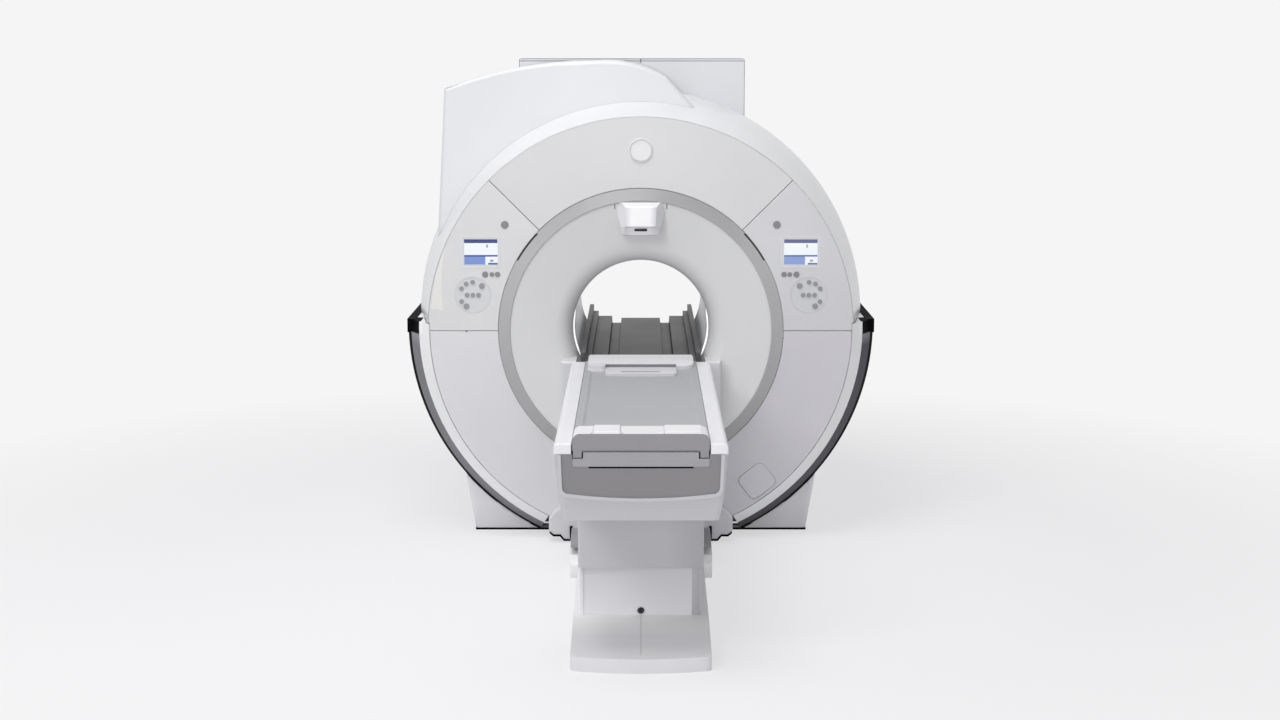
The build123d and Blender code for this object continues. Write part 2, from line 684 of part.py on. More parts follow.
# Trims and bumpers: bands round the lower quarters, and a double strip back along each side
TRIM_START = {-1: 180 - TRIM_TOP, 1: -TRIM_REACH}
BUMPER_SECTION = (
    (BUMPER_INNER + 2, TRIM_DEPTH + 2),
    (BUMPER_OUTER - 26, BUMPER_DEPTH - 72),
    (BUMPER_OUTER, BUMPER_DEPTH - 18),
    (BUMPER_OUTER, BUMPER_DEPTH),
    (BUMPER_INNER - 4, BUMPER_DEPTH),
    (BUMPER_INNER - 7.5, TRIM_DEPTH + 7),
)
with BuildPart() as bumper_ring:
    with BuildSketch(radial(0)):
        with BuildLine():
            Polyline(*BUMPER_SECTION, close=True)
        make_face()
        offset(amount=GAP)
    revolve(axis=AXIS)
for side, name in ((-1, "left"), (1, "right")):
    with BuildPart() as trim:
        with BuildSketch(radial(TRIM_START[side])):
            with BuildLine():
                Polyline(
                    (TRIM_INNER, 0),
                    (BUMPER_INNER, TRIM_DEPTH),
                    (BUMPER_INNER - 8, TRIM_DEPTH + 6.5),
                    (TRIM_INNER, 16),
                    close=True,
                )
            make_face()
        revolve(axis=AXIS, revolution_arc=TRIM_REACH + TRIM_TOP)
        with BuildSketch(round_bore(TRIM_DEPTH - 20)):
            with Locations((side * (BUMPER_INNER - 58), 40 - STRIP_HEIGHT / 2)):
                Rectangle(100, STRIP_HEIGHT - 6)
        front_length = extrude(amount=TRIM_DEPTH - 20 - STRIP_BACK, mode=Mode.PRIVATE)
        with BuildSketch(round_bore(BUMPER_DEPTH + GAP)):
            with Locations((side * (STRIP_INNER - 50 - GAP), 40 - STRIP_HEIGHT / 2)):
                Rectangle(100, STRIP_HEIGHT - 6)
        rear_length = extrude(amount=BUMPER_DEPTH + GAP - STRIP_BACK, mode=Mode.PRIVATE)
        add(front_length + rear_length - bumper_ring.part - envelope.part)
    trim.part.label = name + "_trim"
    export_step(trim.part, "parts/" + name + "_trim.step")
    with BuildPart() as bumper:
        with BuildSketch(radial(TRIM_START[side])):
            with BuildLine():
                Polyline(*BUMPER_SECTION, close=True)
            make_face()
        revolve(axis=AXIS, revolution_arc=TRIM_REACH + TRIM_TOP)
        with BuildSketch(round_bore(BUMPER_DEPTH - 72)):
            with Locations((side * (BUMPER_OUTER + STRIP_INNER) / 2, 40 - STRIP_HEIGHT / 2)):
                Rectangle(BUMPER_OUTER - STRIP_INNER, STRIP_HEIGHT)
        extrude(amount=BUMPER_DEPTH - 72 - STRIP_BACK)
        add(envelope.part, mode=Mode.SUBTRACT)
    bumper.part.label = name + "_bumper"
    export_step(bumper.part, "parts/" + name + "_bumper.step")

# Body shrouds: two curved covers that meet at the top and end inside the plinth
MID_DEPTH = GANTRY_LENGTH / 2
SHROUD_DROP = 46
with BuildPart() as body_shell:
    with BuildSketch(radial(-SHROUD_DROP)):
        with BuildLine():
            ThreePointArc(
                (SHOULDER_RADIUS, SHOULDER_DEPTH + GAP),
                (BODY_RADIUS, MID_DEPTH),
                (SHOULDER_RADIUS, GANTRY_LENGTH - SHOULDER_DEPTH - GAP),
            )
            Line(
                (SHOULDER_RADIUS, GANTRY_LENGTH - SHOULDER_DEPTH - GAP),
                (SHOULDER_RADIUS - SKIN, GANTRY_LENGTH - SHOULDER_DEPTH - GAP),
            )
            ThreePointArc(
                (SHOULDER_RADIUS - SKIN, GANTRY_LENGTH - SHOULDER_DEPTH - GAP),
                (BODY_RADIUS - SKIN, MID_DEPTH),
                (SHOULDER_RADIUS - SKIN, SHOULDER_DEPTH + GAP),
            )
            Line(
                (SHOULDER_RADIUS - SKIN, SHOULDER_DEPTH + GAP),
                (SHOULDER_RADIUS, SHOULDER_DEPTH + GAP),
            )
        make_face()
    revolve(axis=AXIS, revolution_arc=180 + 2 * SHROUD_DROP)
    with BuildSketch(at_height(BORE_HEIGHT)):
        with Locations((COLD_HEAD_X + 40, COLD_HEAD_DEPTH)):
            RectangleRounded(2 * COLD_HEAD_RADIUS + 160, 2 * COLD_HEAD_RADIUS + 60, 40)
    extrude(amount=2 * BODY_RADIUS, mode=Mode.SUBTRACT)
for side, name in ((-1, "left"), (1, "right")):
    with BuildPart() as body_shroud:
        add(body_shell.part)
        with BuildSketch(round_bore(0)):
            with Locations((side * (BODY_RADIUS + SEAM / 2), 0)):
                Rectangle(2 * BODY_RADIUS, 3 * BODY_RADIUS)
        extrude(amount=-GANTRY_LENGTH, mode=Mode.INTERSECT)
    body_shroud.part.label = name + "_body_shroud"
    export_step(body_shroud.part, "parts/" + name + "_body_shroud.step")

# Rear cover: the rear shoulder and the flat rear face in one moulding
with BuildPart() as rear_cover:
    with BuildSketch(radial(0)):
        with BuildLine():
            far = GANTRY_LENGTH
            near = GANTRY_LENGTH - SHOULDER_DEPTH
            halfway = GANTRY_LENGTH - SHOULDER_DEPTH / 2
            ThreePointArc(
                (SHOULDER_RADIUS, near),
                (body_radius(SHOULDER_DEPTH / 2), halfway),
                (FACE_RADIUS, far),
            )
            Line((FACE_RADIUS, far), (REAR_BELL_RADIUS + GAP, far))
            Line((REAR_BELL_RADIUS + GAP, far), (REAR_BELL_RADIUS + GAP, far - SKIN))
            Line((REAR_BELL_RADIUS + GAP, far - SKIN), (FACE_RADIUS - SKIN, far - SKIN))
            ThreePointArc(
                (FACE_RADIUS - SKIN, far - SKIN),
                (body_radius(SHOULDER_DEPTH / 2) - SKIN, halfway),
                (SHOULDER_RADIUS - SKIN, near),
            )
            Line((SHOULDER_RADIUS - SKIN, near), (SHOULDER_RADIUS, near))
        make_face()
    revolve(axis=AXIS)
    with BuildSketch(at_height(-200)):
        with Locations((0, GANTRY_LENGTH)):
            Rectangle(2 * BODY_RADIUS, 4 * SHOULDER_DEPTH)
    extrude(amount=214, mode=Mode.SUBTRACT)
    with BuildSketch(round_bore(GANTRY_LENGTH - REAR_GROOVE)):
        for angle in (45, 135):
            with Locations(Rotation(0, 0, angle)):
                Rectangle(2 * FACE_RADIUS, SEAM)
        Circle(REAR_BELL_RADIUS + 60, mode=Mode.SUBTRACT)
        with Locations((-LOUVRE_X, LOUVRE_Z), (LOUVRE_X, LOUVRE_Z)):
            with GridLocations(0, LOUVRE_PITCH, 1, LOUVRE_COUNT):
                SlotOverall(LOUVRE_LENGTH, LOUVRE_SLOT)
        with Locations((LOUVRE_X, -LOUVRE_Z)):
            RectangleRounded(CONNECTOR_WIDTH, CONNECTOR_HEIGHT, 24)
            RectangleRounded(
                CONNECTOR_WIDTH - 2 * SEAM, CONNECTOR_HEIGHT - 2 * SEAM, 24 - SEAM, mode=Mode.SUBTRACT
            )
            with GridLocations(70, 80, 4, 2):
                Circle(22)
                Circle(16, mode=Mode.SUBTRACT)
    extrude(amount=-2 * REAR_GROOVE, mode=Mode.SUBTRACT)
rear_cover.part.label = "rear_cover"
export_step(rear_cover.part, "parts/rear_cover.step")

# Rear bell
REAR_START = GANTRY_LENGTH - REAR_BELL_DEPTH
with BuildPart() as rear_bell:
    with BuildSketch(radial(0)):
        with BuildLine():
            FilletPolyline(
                (BORE_RADIUS, REAR_START),
                (BORE_RADIUS, GANTRY_LENGTH - 60),
                (REAR_BELL_RADIUS, GANTRY_LENGTH),
                radius=220,
            )
            Line((REAR_BELL_RADIUS, GANTRY_LENGTH), (REAR_BELL_RADIUS, GANTRY_LENGTH - SKIN))
            FilletPolyline(
                (REAR_BELL_RADIUS, GANTRY_LENGTH - SKIN),
                (BORE_RADIUS + LINER_WALL, GANTRY_LENGTH - 60 - SKIN),
                (BORE_RADIUS + LINER_WALL, REAR_START),
                radius=212,
            )
            Line((BORE_RADIUS + LINER_WALL, REAR_START), (BORE_RADIUS, REAR_START))
        make_face()
    revolve(axis=AXIS)
rear_bell.part.label = "rear_bell"
export_step(rear_bell.part, "parts/rear_bell.step")

# Plinth: a skirt with sloping sides that the round body sinks into
PLINTH_HALF_TOP = PLINTH_HALF_FLOOR + PLINTH_SLOPE * PLINTH_TOP
PLINTH_LENGTH = GANTRY_LENGTH - 2 * PLINTH_FRONT
with BuildPart() as plinth:
    with BuildSketch(at_depth(PLINTH_FRONT)):
        with BuildLine():
            Polyline(
                (-PLINTH_HALF_FLOOR, 0),
                (PLINTH_HALF_FLOOR, 0),
                (PLINTH_HALF_TOP, PLINTH_TOP),
                (-PLINTH_HALF_TOP, PLINTH_TOP),
                close=True,
            )
        make_face()
    extrude(amount=-PLINTH_LENGTH)
    fillet(plinth.edges().filter_by(lambda e: abs(e.tangent_at(0).Z) > 0.9), 24)
    with BuildSketch(at_depth(PLINTH_FRONT + SKIN)):
        with BuildLine():
            Polyline(
                (-PLINTH_HALF_FLOOR + SKIN, -1),
                (PLINTH_HALF_FLOOR - SKIN, -1),
                (PLINTH_HALF_TOP - SKIN, PLINTH_TOP + 1),
                (-PLINTH_HALF_TOP + SKIN, PLINTH_TOP + 1),
                close=True,
            )
        make_face()
    extrude(amount=2 * SKIN - PLINTH_LENGTH, mode=Mode.SUBTRACT)
    add(envelope.part, mode=Mode.SUBTRACT)
    with BuildSketch(round_bore(PLINTH_FRONT - 5)):
        Circle(BUMPER_OUTER + 1)
    extrude(amount=PLINTH_FRONT - 5 - BUMPER_DEPTH - 1, mode=Mode.SUBTRACT)
    with BuildSketch(at_height(0)):
        with Locations((0, MID_DEPTH)):
            Rectangle(2 * PLINTH_HALF_FLOOR - SKIN, GANTRY_LENGTH - 2 * BUMPER_DEPTH - 10)
            Rectangle(
                2 * PLINTH_HALF_FLOOR - 130,
                GANTRY_LENGTH - 2 * BUMPER_DEPTH - 130,
                mode=Mode.SUBTRACT,
            )
    extrude(amount=12)
plinth.part.label = "base_plinth"
export_step(plinth.part, "parts/base_plinth.step")

# Turret cover: a hood over the cold head, set off to the left and faired into the body


def turret_outline(inset):
    """Front outline of the turret, drawn in by a wall."""
    low = TURRET_LOW_Z
    with BuildSketch() as outline:
        with BuildLine():
            Line((-TURRET_LEFT_LOW + inset, low), (-TURRET_LEFT_TOP + inset, TURRET_SHOULDER_Z))
            ThreePointArc(
                (-TURRET_LEFT_TOP + inset, TURRET_SHOULDER_Z),
                (-TURRET_LEFT_TOP + 315, TURRET_TOP_Z - 45 - inset),
                (TURRET_TOP_X, TURRET_TOP_Z - inset),
            )
            ThreePointArc(
                (TURRET_TOP_X, TURRET_TOP_Z - inset),
                (TURRET_TOP_X + 240, TURRET_TOP_Z - 18 - inset),
                (TURRET_TOP_X + 400 - inset, TURRET_TOP_Z - 84 - inset),
            )
            Line(
                (TURRET_TOP_X + 400 - inset, TURRET_TOP_Z - 84 - inset),
                (TURRET_TOP_X + 600 - inset, TURRET_TOP_Z - 300 - inset),
            )
            Line((TURRET_TOP_X + 600 - inset, TURRET_TOP_Z - 300 - inset), (0, low))
            Line((0, low), (-TURRET_LEFT_LOW + inset, low))
        make_face()
    return outline.sketch


with BuildPart() as turret:
    with BuildSketch(at_depth(TURRET_FRONT)):
        add(turret_outline(0))
    extrude(amount=TURRET_FRONT - TURRET_BACK)
    fillet(turret.faces().sort_by(Axis.Y)[0].edges().filter_by(lambda e: e.center().Z > 1600), 22)
    with BuildSketch(at_depth(TURRET_FRONT + SKIN)):
        add(turret_outline(SKIN))
    extrude(amount=TURRET_FRONT + 2 * SKIN - TURRET_BACK, mode=Mode.SUBTRACT)
    add(envelope.part, mode=Mode.SUBTRACT)
turret.part.label = "turret_cover"
export_step(turret.part, "parts/turret_cover.step")

# Service tower: a square cabinet behind the turret with a thin lid
with BuildPart() as tower:
    with BuildSketch(at_depth(TOWER_FRONT)):
        with Locations(((TOWER_RIGHT - TOWER_LEFT) / 2, (TOWER_TOP + TOWER_LOW) / 2)):
            RectangleRounded(TOWER_LEFT + TOWER_RIGHT, TOWER_TOP - TOWER_LOW, 10)
    extrude(amount=TOWER_FRONT - TOWER_BACK)
    with BuildSketch(at_depth(TOWER_FRONT + SKIN)):
        with Locations(((TOWER_RIGHT - TOWER_LEFT) / 2, (TOWER_TOP + TOWER_LOW - 20) / 2 - SKIN)):
            Rectangle(TOWER_LEFT + TOWER_RIGHT - 2 * SKIN, TOWER_TOP - TOWER_LOW + 20)
    extrude(amount=TOWER_FRONT + 2 * SKIN - TOWER_BACK, mode=Mode.SUBTRACT)
    with BuildSketch(at_height(TOWER_TOP - 12)):
        with Locations(((TOWER_RIGHT - TOWER_LEFT) / 2, (TOWER_FRONT + TOWER_BACK) / 2)):
            Rectangle(TOWER_LEFT + TOWER_RIGHT + 2, TOWER_BACK - TOWER_FRONT + 2)
            Rectangle(
                TOWER_LEFT + TOWER_RIGHT - 4, TOWER_BACK - TOWER_FRONT - 4, mode=Mode.SUBTRACT
            )
    extrude(amount=-3, mode=Mode.SUBTRACT)
    with BuildSketch(at_depth(TOWER_BACK - REAR_GROOVE)):
        with Locations(((TOWER_RIGHT - TOWER_LEFT) / 2, TOWER_TOP - 190)):
            with GridLocations(0, LOUVRE_PITCH, 1, LOUVRE_COUNT):
                SlotOverall(2 * LOUVRE_LENGTH, LOUVRE_SLOT)
    extrude(amount=-2 * REAR_GROOVE, mode=Mode.SUBTRACT)
    add(envelope.part, mode=Mode.SUBTRACT)
tower.part.label = "service_tower"
export_step(tower.part, "parts/service_tower.step")

# Screens, keypads and buttons on both consoles
SEAT = PANEL_SKIN + GAP
for side, name in ((-1, "left"), (1, "right")):
    with BuildPart() as screen:
        with BuildSketch(at_depth(0.5)):
            with Locations((side * SCREEN_X, SCREEN_Z)):
                RectangleRounded(SCREEN_WIDTH, SCREEN_HEIGHT, 4)
        extrude(amount=-PANEL_SKIN - 12)
        with BuildSketch(at_depth(SEAT)):
            with Locations((side * SCREEN_X, SCREEN_Z)):
                Rectangle(SCREEN_WIDTH + 16, SCREEN_HEIGHT + 16)
        extrude(amount=-14)
        with BuildSketch(at_depth(0.5)):
            with Locations((side * SCREEN_X, SCREEN_Z)):
                Rectangle(SCREEN_WIDTH - 8, SCREEN_HEIGHT - 8)
        extrude(amount=-1.2, mode=Mode.SUBTRACT)
    screen.part.label = name + "_screen"
    export_step(screen.part, "parts/" + name + "_screen.step")

    # The keypad is one moulded mat: a shallow disc with its nine keys standing on it
    with BuildPart() as keypad:
        with BuildSketch(at_depth(-1)):
            with Locations((side * KEYPAD_X, KEYPAD_Z)):
                Circle(KEYPAD_RADIUS)
        extrude(amount=-PANEL_SKIN - 8)
        with BuildSketch(at_depth(-1)):
            with Locations((side * KEYPAD_X, KEYPAD_Z)):
                Circle(KEYPAD_RADIUS - 4)
        extrude(amount=-1.5, mode=Mode.SUBTRACT)
        with BuildSketch(at_depth(0.5)):
            for turn in KEY_ANGLES + LARGE_KEY_ANGLES:
                reach = radians(turn if side < 0 else 180 - turn)
                x = side * KEYPAD_X + KEY_CIRCLE * cos(reach)
                z = KEYPAD_Z + KEY_CIRCLE * sin(reach)
                with Locations((x, z)):
                    Circle(LARGE_KEY_RADIUS if turn in LARGE_KEY_ANGLES else KEY_RADIUS)
            for shift in (-KEY_PITCH, 0, KEY_PITCH):
                with Locations((side * KEYPAD_X + shift, KEYPAD_Z)):
                    Circle(KEY_RADIUS)
        extrude(amount=4)
    keypad.part.label = name + "_keypad"
    export_step(keypad.part, "parts/" + name + "_keypad.step")

    buttons = [("round_button", ROUND_BUTTON_X, ROUND_BUTTON_Z, ROUND_BUTTON_RADIUS)]
    for n in range(3):
        buttons.append(("row_button_" + str(n + 1), ROW_X[n], ROW_Z, ROW_RADIUS[n]))
    for label, x, z, r in buttons:
        with BuildPart() as button:
            with BuildSketch(at_depth(-BUTTON_PROUD)):
                with Locations((side * x, z)):
                    Circle(r)
            extrude(amount=-BUTTON_PROUD - PANEL_SKIN - 4)
            fillet(button.faces().sort_by(Axis.Y)[0].edges(), 2)
            with BuildSketch(at_depth(SEAT)):
                with Locations((side * x, z)):
                    Circle(r + 2)
            extrude(amount=-3)
        button.part.label = name + "_" + label
        export_step(button.part, "parts/" + name + "_" + label + ".step")

# Docking fairing below the bore, with a trough for the cradle and a stepped foot
with BuildPart() as fairing:
    with BuildSketch(at_depth(-FAIRING_FRONT)):
        with BuildLine():
            Polyline(
                (-FAIRING_HALF, FAIRING_TOP),
                (-FAIRING_TROUGH, FAIRING_TOP),
                (-FAIRING_TROUGH, BRIDGE_TOP - 60),
                (FAIRING_TROUGH, BRIDGE_TOP - 60),
                (FAIRING_TROUGH, FAIRING_TOP),
                (FAIRING_HALF, FAIRING_TOP),
                (FAIRING_HALF, FOOT_TOP + 40),
                (FOOT_HALF - 20, FOOT_TOP),
                (FOOT_HALF, FOOT_TOP - 30),
                (FOOT_HALF, 60),
                (FOOT_HALF - 26, 40),
                (FOOT_HALF - 60, 40),
                (FOOT_HALF - 80, 16),
                (80 - FOOT_HALF, 16),
                (60 - FOOT_HALF, 40),
                (26 - FOOT_HALF, 40),
                (-FOOT_HALF, 60),
                (-FOOT_HALF, FOOT_TOP - 30),
                (20 - FOOT_HALF, FOOT_TOP),
                (-FAIRING_HALF, FOOT_TOP + 40),
                close=True,
            )
        make_face()
    extrude(amount=-FAIRING_FRONT - 120)
    fillet(fairing.faces().sort_by(Axis.Y)[0].edges(), 14)
    add(front_solid.part, mode=Mode.SUBTRACT)
fairing.part.label = "dock_fairing"
export_step(fairing.part, "parts/dock_fairing.step")

# Bridge through the bore: grooves along it, stepped edges, resting on the liner
BRIDGE_LOW = 850
BRIDGE_START = 40 - FAIRING_FRONT
BRIDGE_REST = BORE_RADIUS - GAP
REST_X = sqrt(BRIDGE_REST**2 - (BORE_HEIGHT - BRIDGE_LOW) ** 2)
LIP_REST = BORE_HEIGHT - sqrt(BRIDGE_REST**2 - LIP_OUTER**2)
REST_MID = (REST_X + LIP_OUTER) / 2
HALF_BRIDGE = (
    (0, BRIDGE_TOP),
    (GROOVE_INNER, BRIDGE_TOP),
    (GROOVE_INNER + 3, BRIDGE_TOP - GROOVE_DEPTH),
    (GROOVE_OUTER - 3, BRIDGE_TOP - GROOVE_DEPTH),
    (GROOVE_OUTER, BRIDGE_TOP + FLAT_RISE),
    (STEP_INNER, BRIDGE_TOP + FLAT_RISE),
    (STEP_INNER, BRIDGE_TOP + STEP_RISE),
    (LIP_INNER, BRIDGE_TOP + STEP_RISE),
    (LIP_INNER, BRIDGE_TOP + LIP_RISE),
    (LIP_OUTER, BRIDGE_TOP + LIP_RISE),
    (LIP_OUTER, LIP_REST),
)
with BuildPart() as bridge:
    with BuildSketch(at_depth(BRIDGE_START)):
        with BuildLine():
            Polyline(*HALF_BRIDGE)
            ThreePointArc(
                (LIP_OUTER, LIP_REST),
                (REST_MID, BORE_HEIGHT - sqrt(BRIDGE_REST**2 - REST_MID**2)),
                (REST_X, BRIDGE_LOW),
            )
            Line((REST_X, BRIDGE_LOW), (0, BRIDGE_LOW))
            Line((0, BRIDGE_LOW), (0, BRIDGE_TOP))
        make_face()
        mirror(about=Plane.YZ)
    extrude(amount=BRIDGE_START - BRIDGE_REACH)
bridge.part.label = "bore_bridge"
export_step(bridge.part, "parts/bore_bridge.step")

# Pedestal base: a low moulded cover with a bowed front lip and a pod on each side
POD_FRONT = 775
POD_BACK = 575
POD_INNER = 280
POD_OUTER = 342
POD_TOP = 146
PEDAL_PIN_DEPTH = -POD_BACK - 22
PEDAL_PIN_Z = POD_TOP + 10
PEDAL_TOP = 205
DOCK_HALF = 150
PLATE_HALF = 210
PLATE_DEPTH = 620
PLATE_THICK = 18
with BuildPart() as base:
    with BuildSketch(at_height(0)):
        with BuildLine():
            ThreePointArc(
                (-BASE_HALF, BASE_BOW - TABLE_REACH), (0, -TABLE_REACH), (BASE_HALF, BASE_BOW - TABLE_REACH)
            )
            Polyline(
                (BASE_HALF, BASE_BOW - TABLE_REACH),
                (BASE_HALF + 10, -BASE_BACK),
                (-BASE_HALF - 10, -BASE_BACK),
                (-BASE_HALF, BASE_BOW - TABLE_REACH),
            )
        make_face()
    extrude(amount=BASE_TOP)
    fillet(base.edges().filter_by(Axis.Z), 30)
    with BuildSketch(at_height(0)):
        with Locations((0, -(BASE_BACK + 40 + FAIRING_FRONT + GAP) / 2)):
            Rectangle(2 * DOCK_HALF, BASE_BACK + 40 - FAIRING_FRONT - GAP)
    extrude(amount=BASE_LIP)
    with BuildSketch(side_view(-2 * BASE_HALF)):
        with BuildLine():
            Polyline(
                (-TABLE_REACH - 10, BASE_LIP),
                (-LOWER_FRONT - 40, BASE_TOP),
                (-LOWER_FRONT - 40, BASE_TOP + 20),
                (-TABLE_REACH - 10, BASE_TOP + 20),
                close=True,
            )
        make_face()
    extrude(amount=4 * BASE_HALF, mode=Mode.SUBTRACT)
    with BuildSketch(side_view(-POD_OUTER)):
        with BuildLine():
            FilletPolyline(
                (-POD_BACK, 0),
                (-POD_BACK, POD_TOP),
                (PEDAL_PIN_DEPTH - 14, POD_TOP),
                (-POD_FRONT + 12, POD_TOP - 30),
                (-POD_FRONT - 14, POD_TOP / 2),
                (-POD_FRONT + 20, 0),
                radius=8,
            )
            Line((-POD_FRONT + 20, 0), (-POD_BACK, 0))
        make_face()
    pod_blank = extrude(amount=2 * POD_OUTER, mode=Mode.PRIVATE)
    with BuildSketch(at_height(0)):
        for side in (-1, 1):
            with Locations((side * (POD_INNER + POD_OUTER) / 2, -(POD_FRONT + POD_BACK) / 2)):
                RectangleRounded(POD_OUTER - POD_INNER, POD_FRONT - POD_BACK + 30, 20)
    pods = extrude(amount=POD_TOP + 10, mode=Mode.PRIVATE)
    add(pods & pod_blank)
    with BuildSketch(side_view(-POD_OUTER - 5)):
        with Locations((PEDAL_PIN_DEPTH, PEDAL_PIN_Z)):
            Circle(11 + GAP)
    extrude(amount=2 * POD_OUTER + 10, mode=Mode.SUBTRACT)
    with BuildSketch(at_height(0)):
        with Locations((0, -(TABLE_REACH - BASE_BOW + BASE_BACK) / 2)):
            RectangleRounded(2 * BASE_HALF - 40, TABLE_REACH - BASE_BOW - BASE_BACK - 40, 20)
        with Locations((0, -(BASE_BACK + 40 + FAIRING_FRONT) / 2)):
            Rectangle(2 * DOCK_HALF - 24, BASE_BACK + 40 - FAIRING_FRONT + 10)
    extrude(amount=BASE_LIP - 14, mode=Mode.SUBTRACT)
    with BuildSketch(at_height(BASE_LIP - 14)):
        with Locations((0, -COLUMN_DEPTH)):
            Rectangle(2 * COLUMN_X + 60, 2 * COLUMN_X + 60)
    extrude(amount=60, mode=Mode.SUBTRACT)
    with BuildSketch(at_height(PLATE_THICK + GAP)):
        for x in (30 - PLATE_HALF, PLATE_HALF - 30):
            for shift in (-PLATE_DEPTH / 3, PLATE_DEPTH / 3):
                with Locations((x, shift - COLUMN_DEPTH)):
                    RectangleRounded(44, 70, 8)
    extrude(amount=BASE_LIP - PLATE_THICK)
base.part.label = "pedestal_base"
export_step(base.part, "parts/pedestal_base.step")

# Foot pedals, one on each pod, each with a round barrel that it tips about
for side, name in ((-1, "left"), (1, "right")):
    with BuildPart() as pedal:
        with BuildSketch(side_view(side * (POD_INNER + POD_OUTER) / 2 - 25)):
            with BuildLine():
                FilletPolyline(
                    (-POD_BACK - 2, PEDAL_PIN_Z - 4),
                    (-POD_BACK - 2, PEDAL_TOP),
                    (-POD_FRONT + 70, PEDAL_TOP - 6),
                    (-POD_FRONT, PEDAL_TOP - 34),
                    (-POD_FRONT, POD_TOP + 12),
                    (-POD_FRONT + 20, POD_TOP + 3),
                    (PEDAL_PIN_DEPTH, POD_TOP + 3),
                    radius=5,
                )
                Line((PEDAL_PIN_DEPTH, POD_TOP + 3), (-POD_BACK - 2, PEDAL_PIN_Z - 4))
            make_face()
        extrude(amount=50)
        with BuildSketch(side_view(side * (POD_INNER + POD_OUTER) / 2 - 25)):
            with Locations((PEDAL_PIN_DEPTH, PEDAL_PIN_Z)):
                Circle(11)
        extrude(amount=50)
    pedal.part.label = name + "_pedal"
    export_step(pedal.part, "parts/" + name + "_pedal.step")


def box_shell(half, front, back, low, high, wall):
    """Open tube of rectangular plan with rounded corners."""
    with BuildPart() as tube:
        with BuildSketch(at_height(low)):
            with Locations((0, -(front + back) / 2)):
                RectangleRounded(2 * half, front - back, 16)
                RectangleRounded(
                    2 * (half - wall), front - back - 2 * wall, 16 - wall, mode=Mode.SUBTRACT
                )
        extrude(amount=high - low)
    return tube.part


# Lower shroud: fixed, with a recessed front panel between its cheeks and a round port
with BuildPart() as lower_shroud:
    add(box_shell(LOWER_HALF, LOWER_FRONT, LOWER_BACK, BASE_TOP + GAP, LOWER_TOP, 12))
    with BuildSketch(at_depth(-LOWER_FRONT)):
        with Locations((0, (BASE_TOP + LOWER_TOP) / 2)):
            Rectangle(2 * PANEL_HALF, LOWER_TOP - BASE_TOP + 10)
    extrude(amount=-6, mode=Mode.SUBTRACT)
    with BuildSketch(at_depth(-LOWER_FRONT)):
        with Locations((0, BASE_TOP + 20)):
            Circle(HOLE_RADIUS)
    extrude(amount=-40, mode=Mode.SUBTRACT)
lower_shroud.part.label = "lower_shroud"
export_step(lower_shroud.part, "parts/lower_shroud.step")

# Three-stage lift column: fixed tube, middle tube with a cross plate, and ram
COLUMN_TOP = LOWER_TOP + 30
STAGE_LOW = 270
PLATE_LOW = COLUMN_TOP + LIFT_TRAVEL / 2 + 2
STAGE_HALF = COLUMN_X - 10 - GAP
RAM_HALF = STAGE_HALF - 10 - GAP


def square_tube(half, low, high, wall):
    """Square tube of the lift column."""
    with BuildPart() as tube:
        with BuildSketch(at_height(low)):
            with Locations((0, -COLUMN_DEPTH)):
                Rectangle(2 * half, 2 * half)
                Rectangle(2 * (half - wall), 2 * (half - wall), mode=Mode.SUBTRACT)
        extrude(amount=high - low)
    return tube.part


with BuildPart() as column:
    add(square_tube(COLUMN_X, PLATE_THICK, COLUMN_TOP, 10))
    with BuildSketch(at_height(0)):
        with Locations((0, -COLUMN_DEPTH)):
            Rectangle(2 * PLATE_HALF, PLATE_DEPTH)
            with GridLocations(2 * PLATE_HALF - 60, PLATE_DEPTH - 60, 2, 2):
                Circle(9, mode=Mode.SUBTRACT)
    extrude(amount=PLATE_THICK)
column.part.label = "lift_column"
export_step(column.part, "parts/lift_column.step")

with BuildPart() as stage:
    add(square_tube(STAGE_HALF, STAGE_LOW, PLATE_LOW + 10, 10))
    with BuildSketch(at_height(PLATE_LOW)):
        with Locations((0, -COLUMN_DEPTH)):
            Rectangle(2 * (MID_HALF - 6 - GAP), 260)
            Rectangle(2 * (STAGE_HALF - 5), 2 * (STAGE_HALF - 5), mode=Mode.SUBTRACT)
    extrude(amount=10)
stage.part.label = "lift_middle_stage"
export_step(stage.part, "parts/lift_middle_stage.step")

with BuildPart() as mid_shroud:
    add(box_shell(MID_HALF, MID_FRONT, MID_BACK, MID_LOW, MID_TOP, 6))
mid_shroud.part.label = "middle_shroud"
export_step(mid_shroud.part, "parts/middle_shroud.step")

with BuildPart() as ram:
    add(square_tube(RAM_HALF, STAGE_LOW + LIFT_TRAVEL / 2, DECK_LOW, 12))
ram.part.label = "lift_ram"
export_step(ram.part, "parts/lift_ram.step")

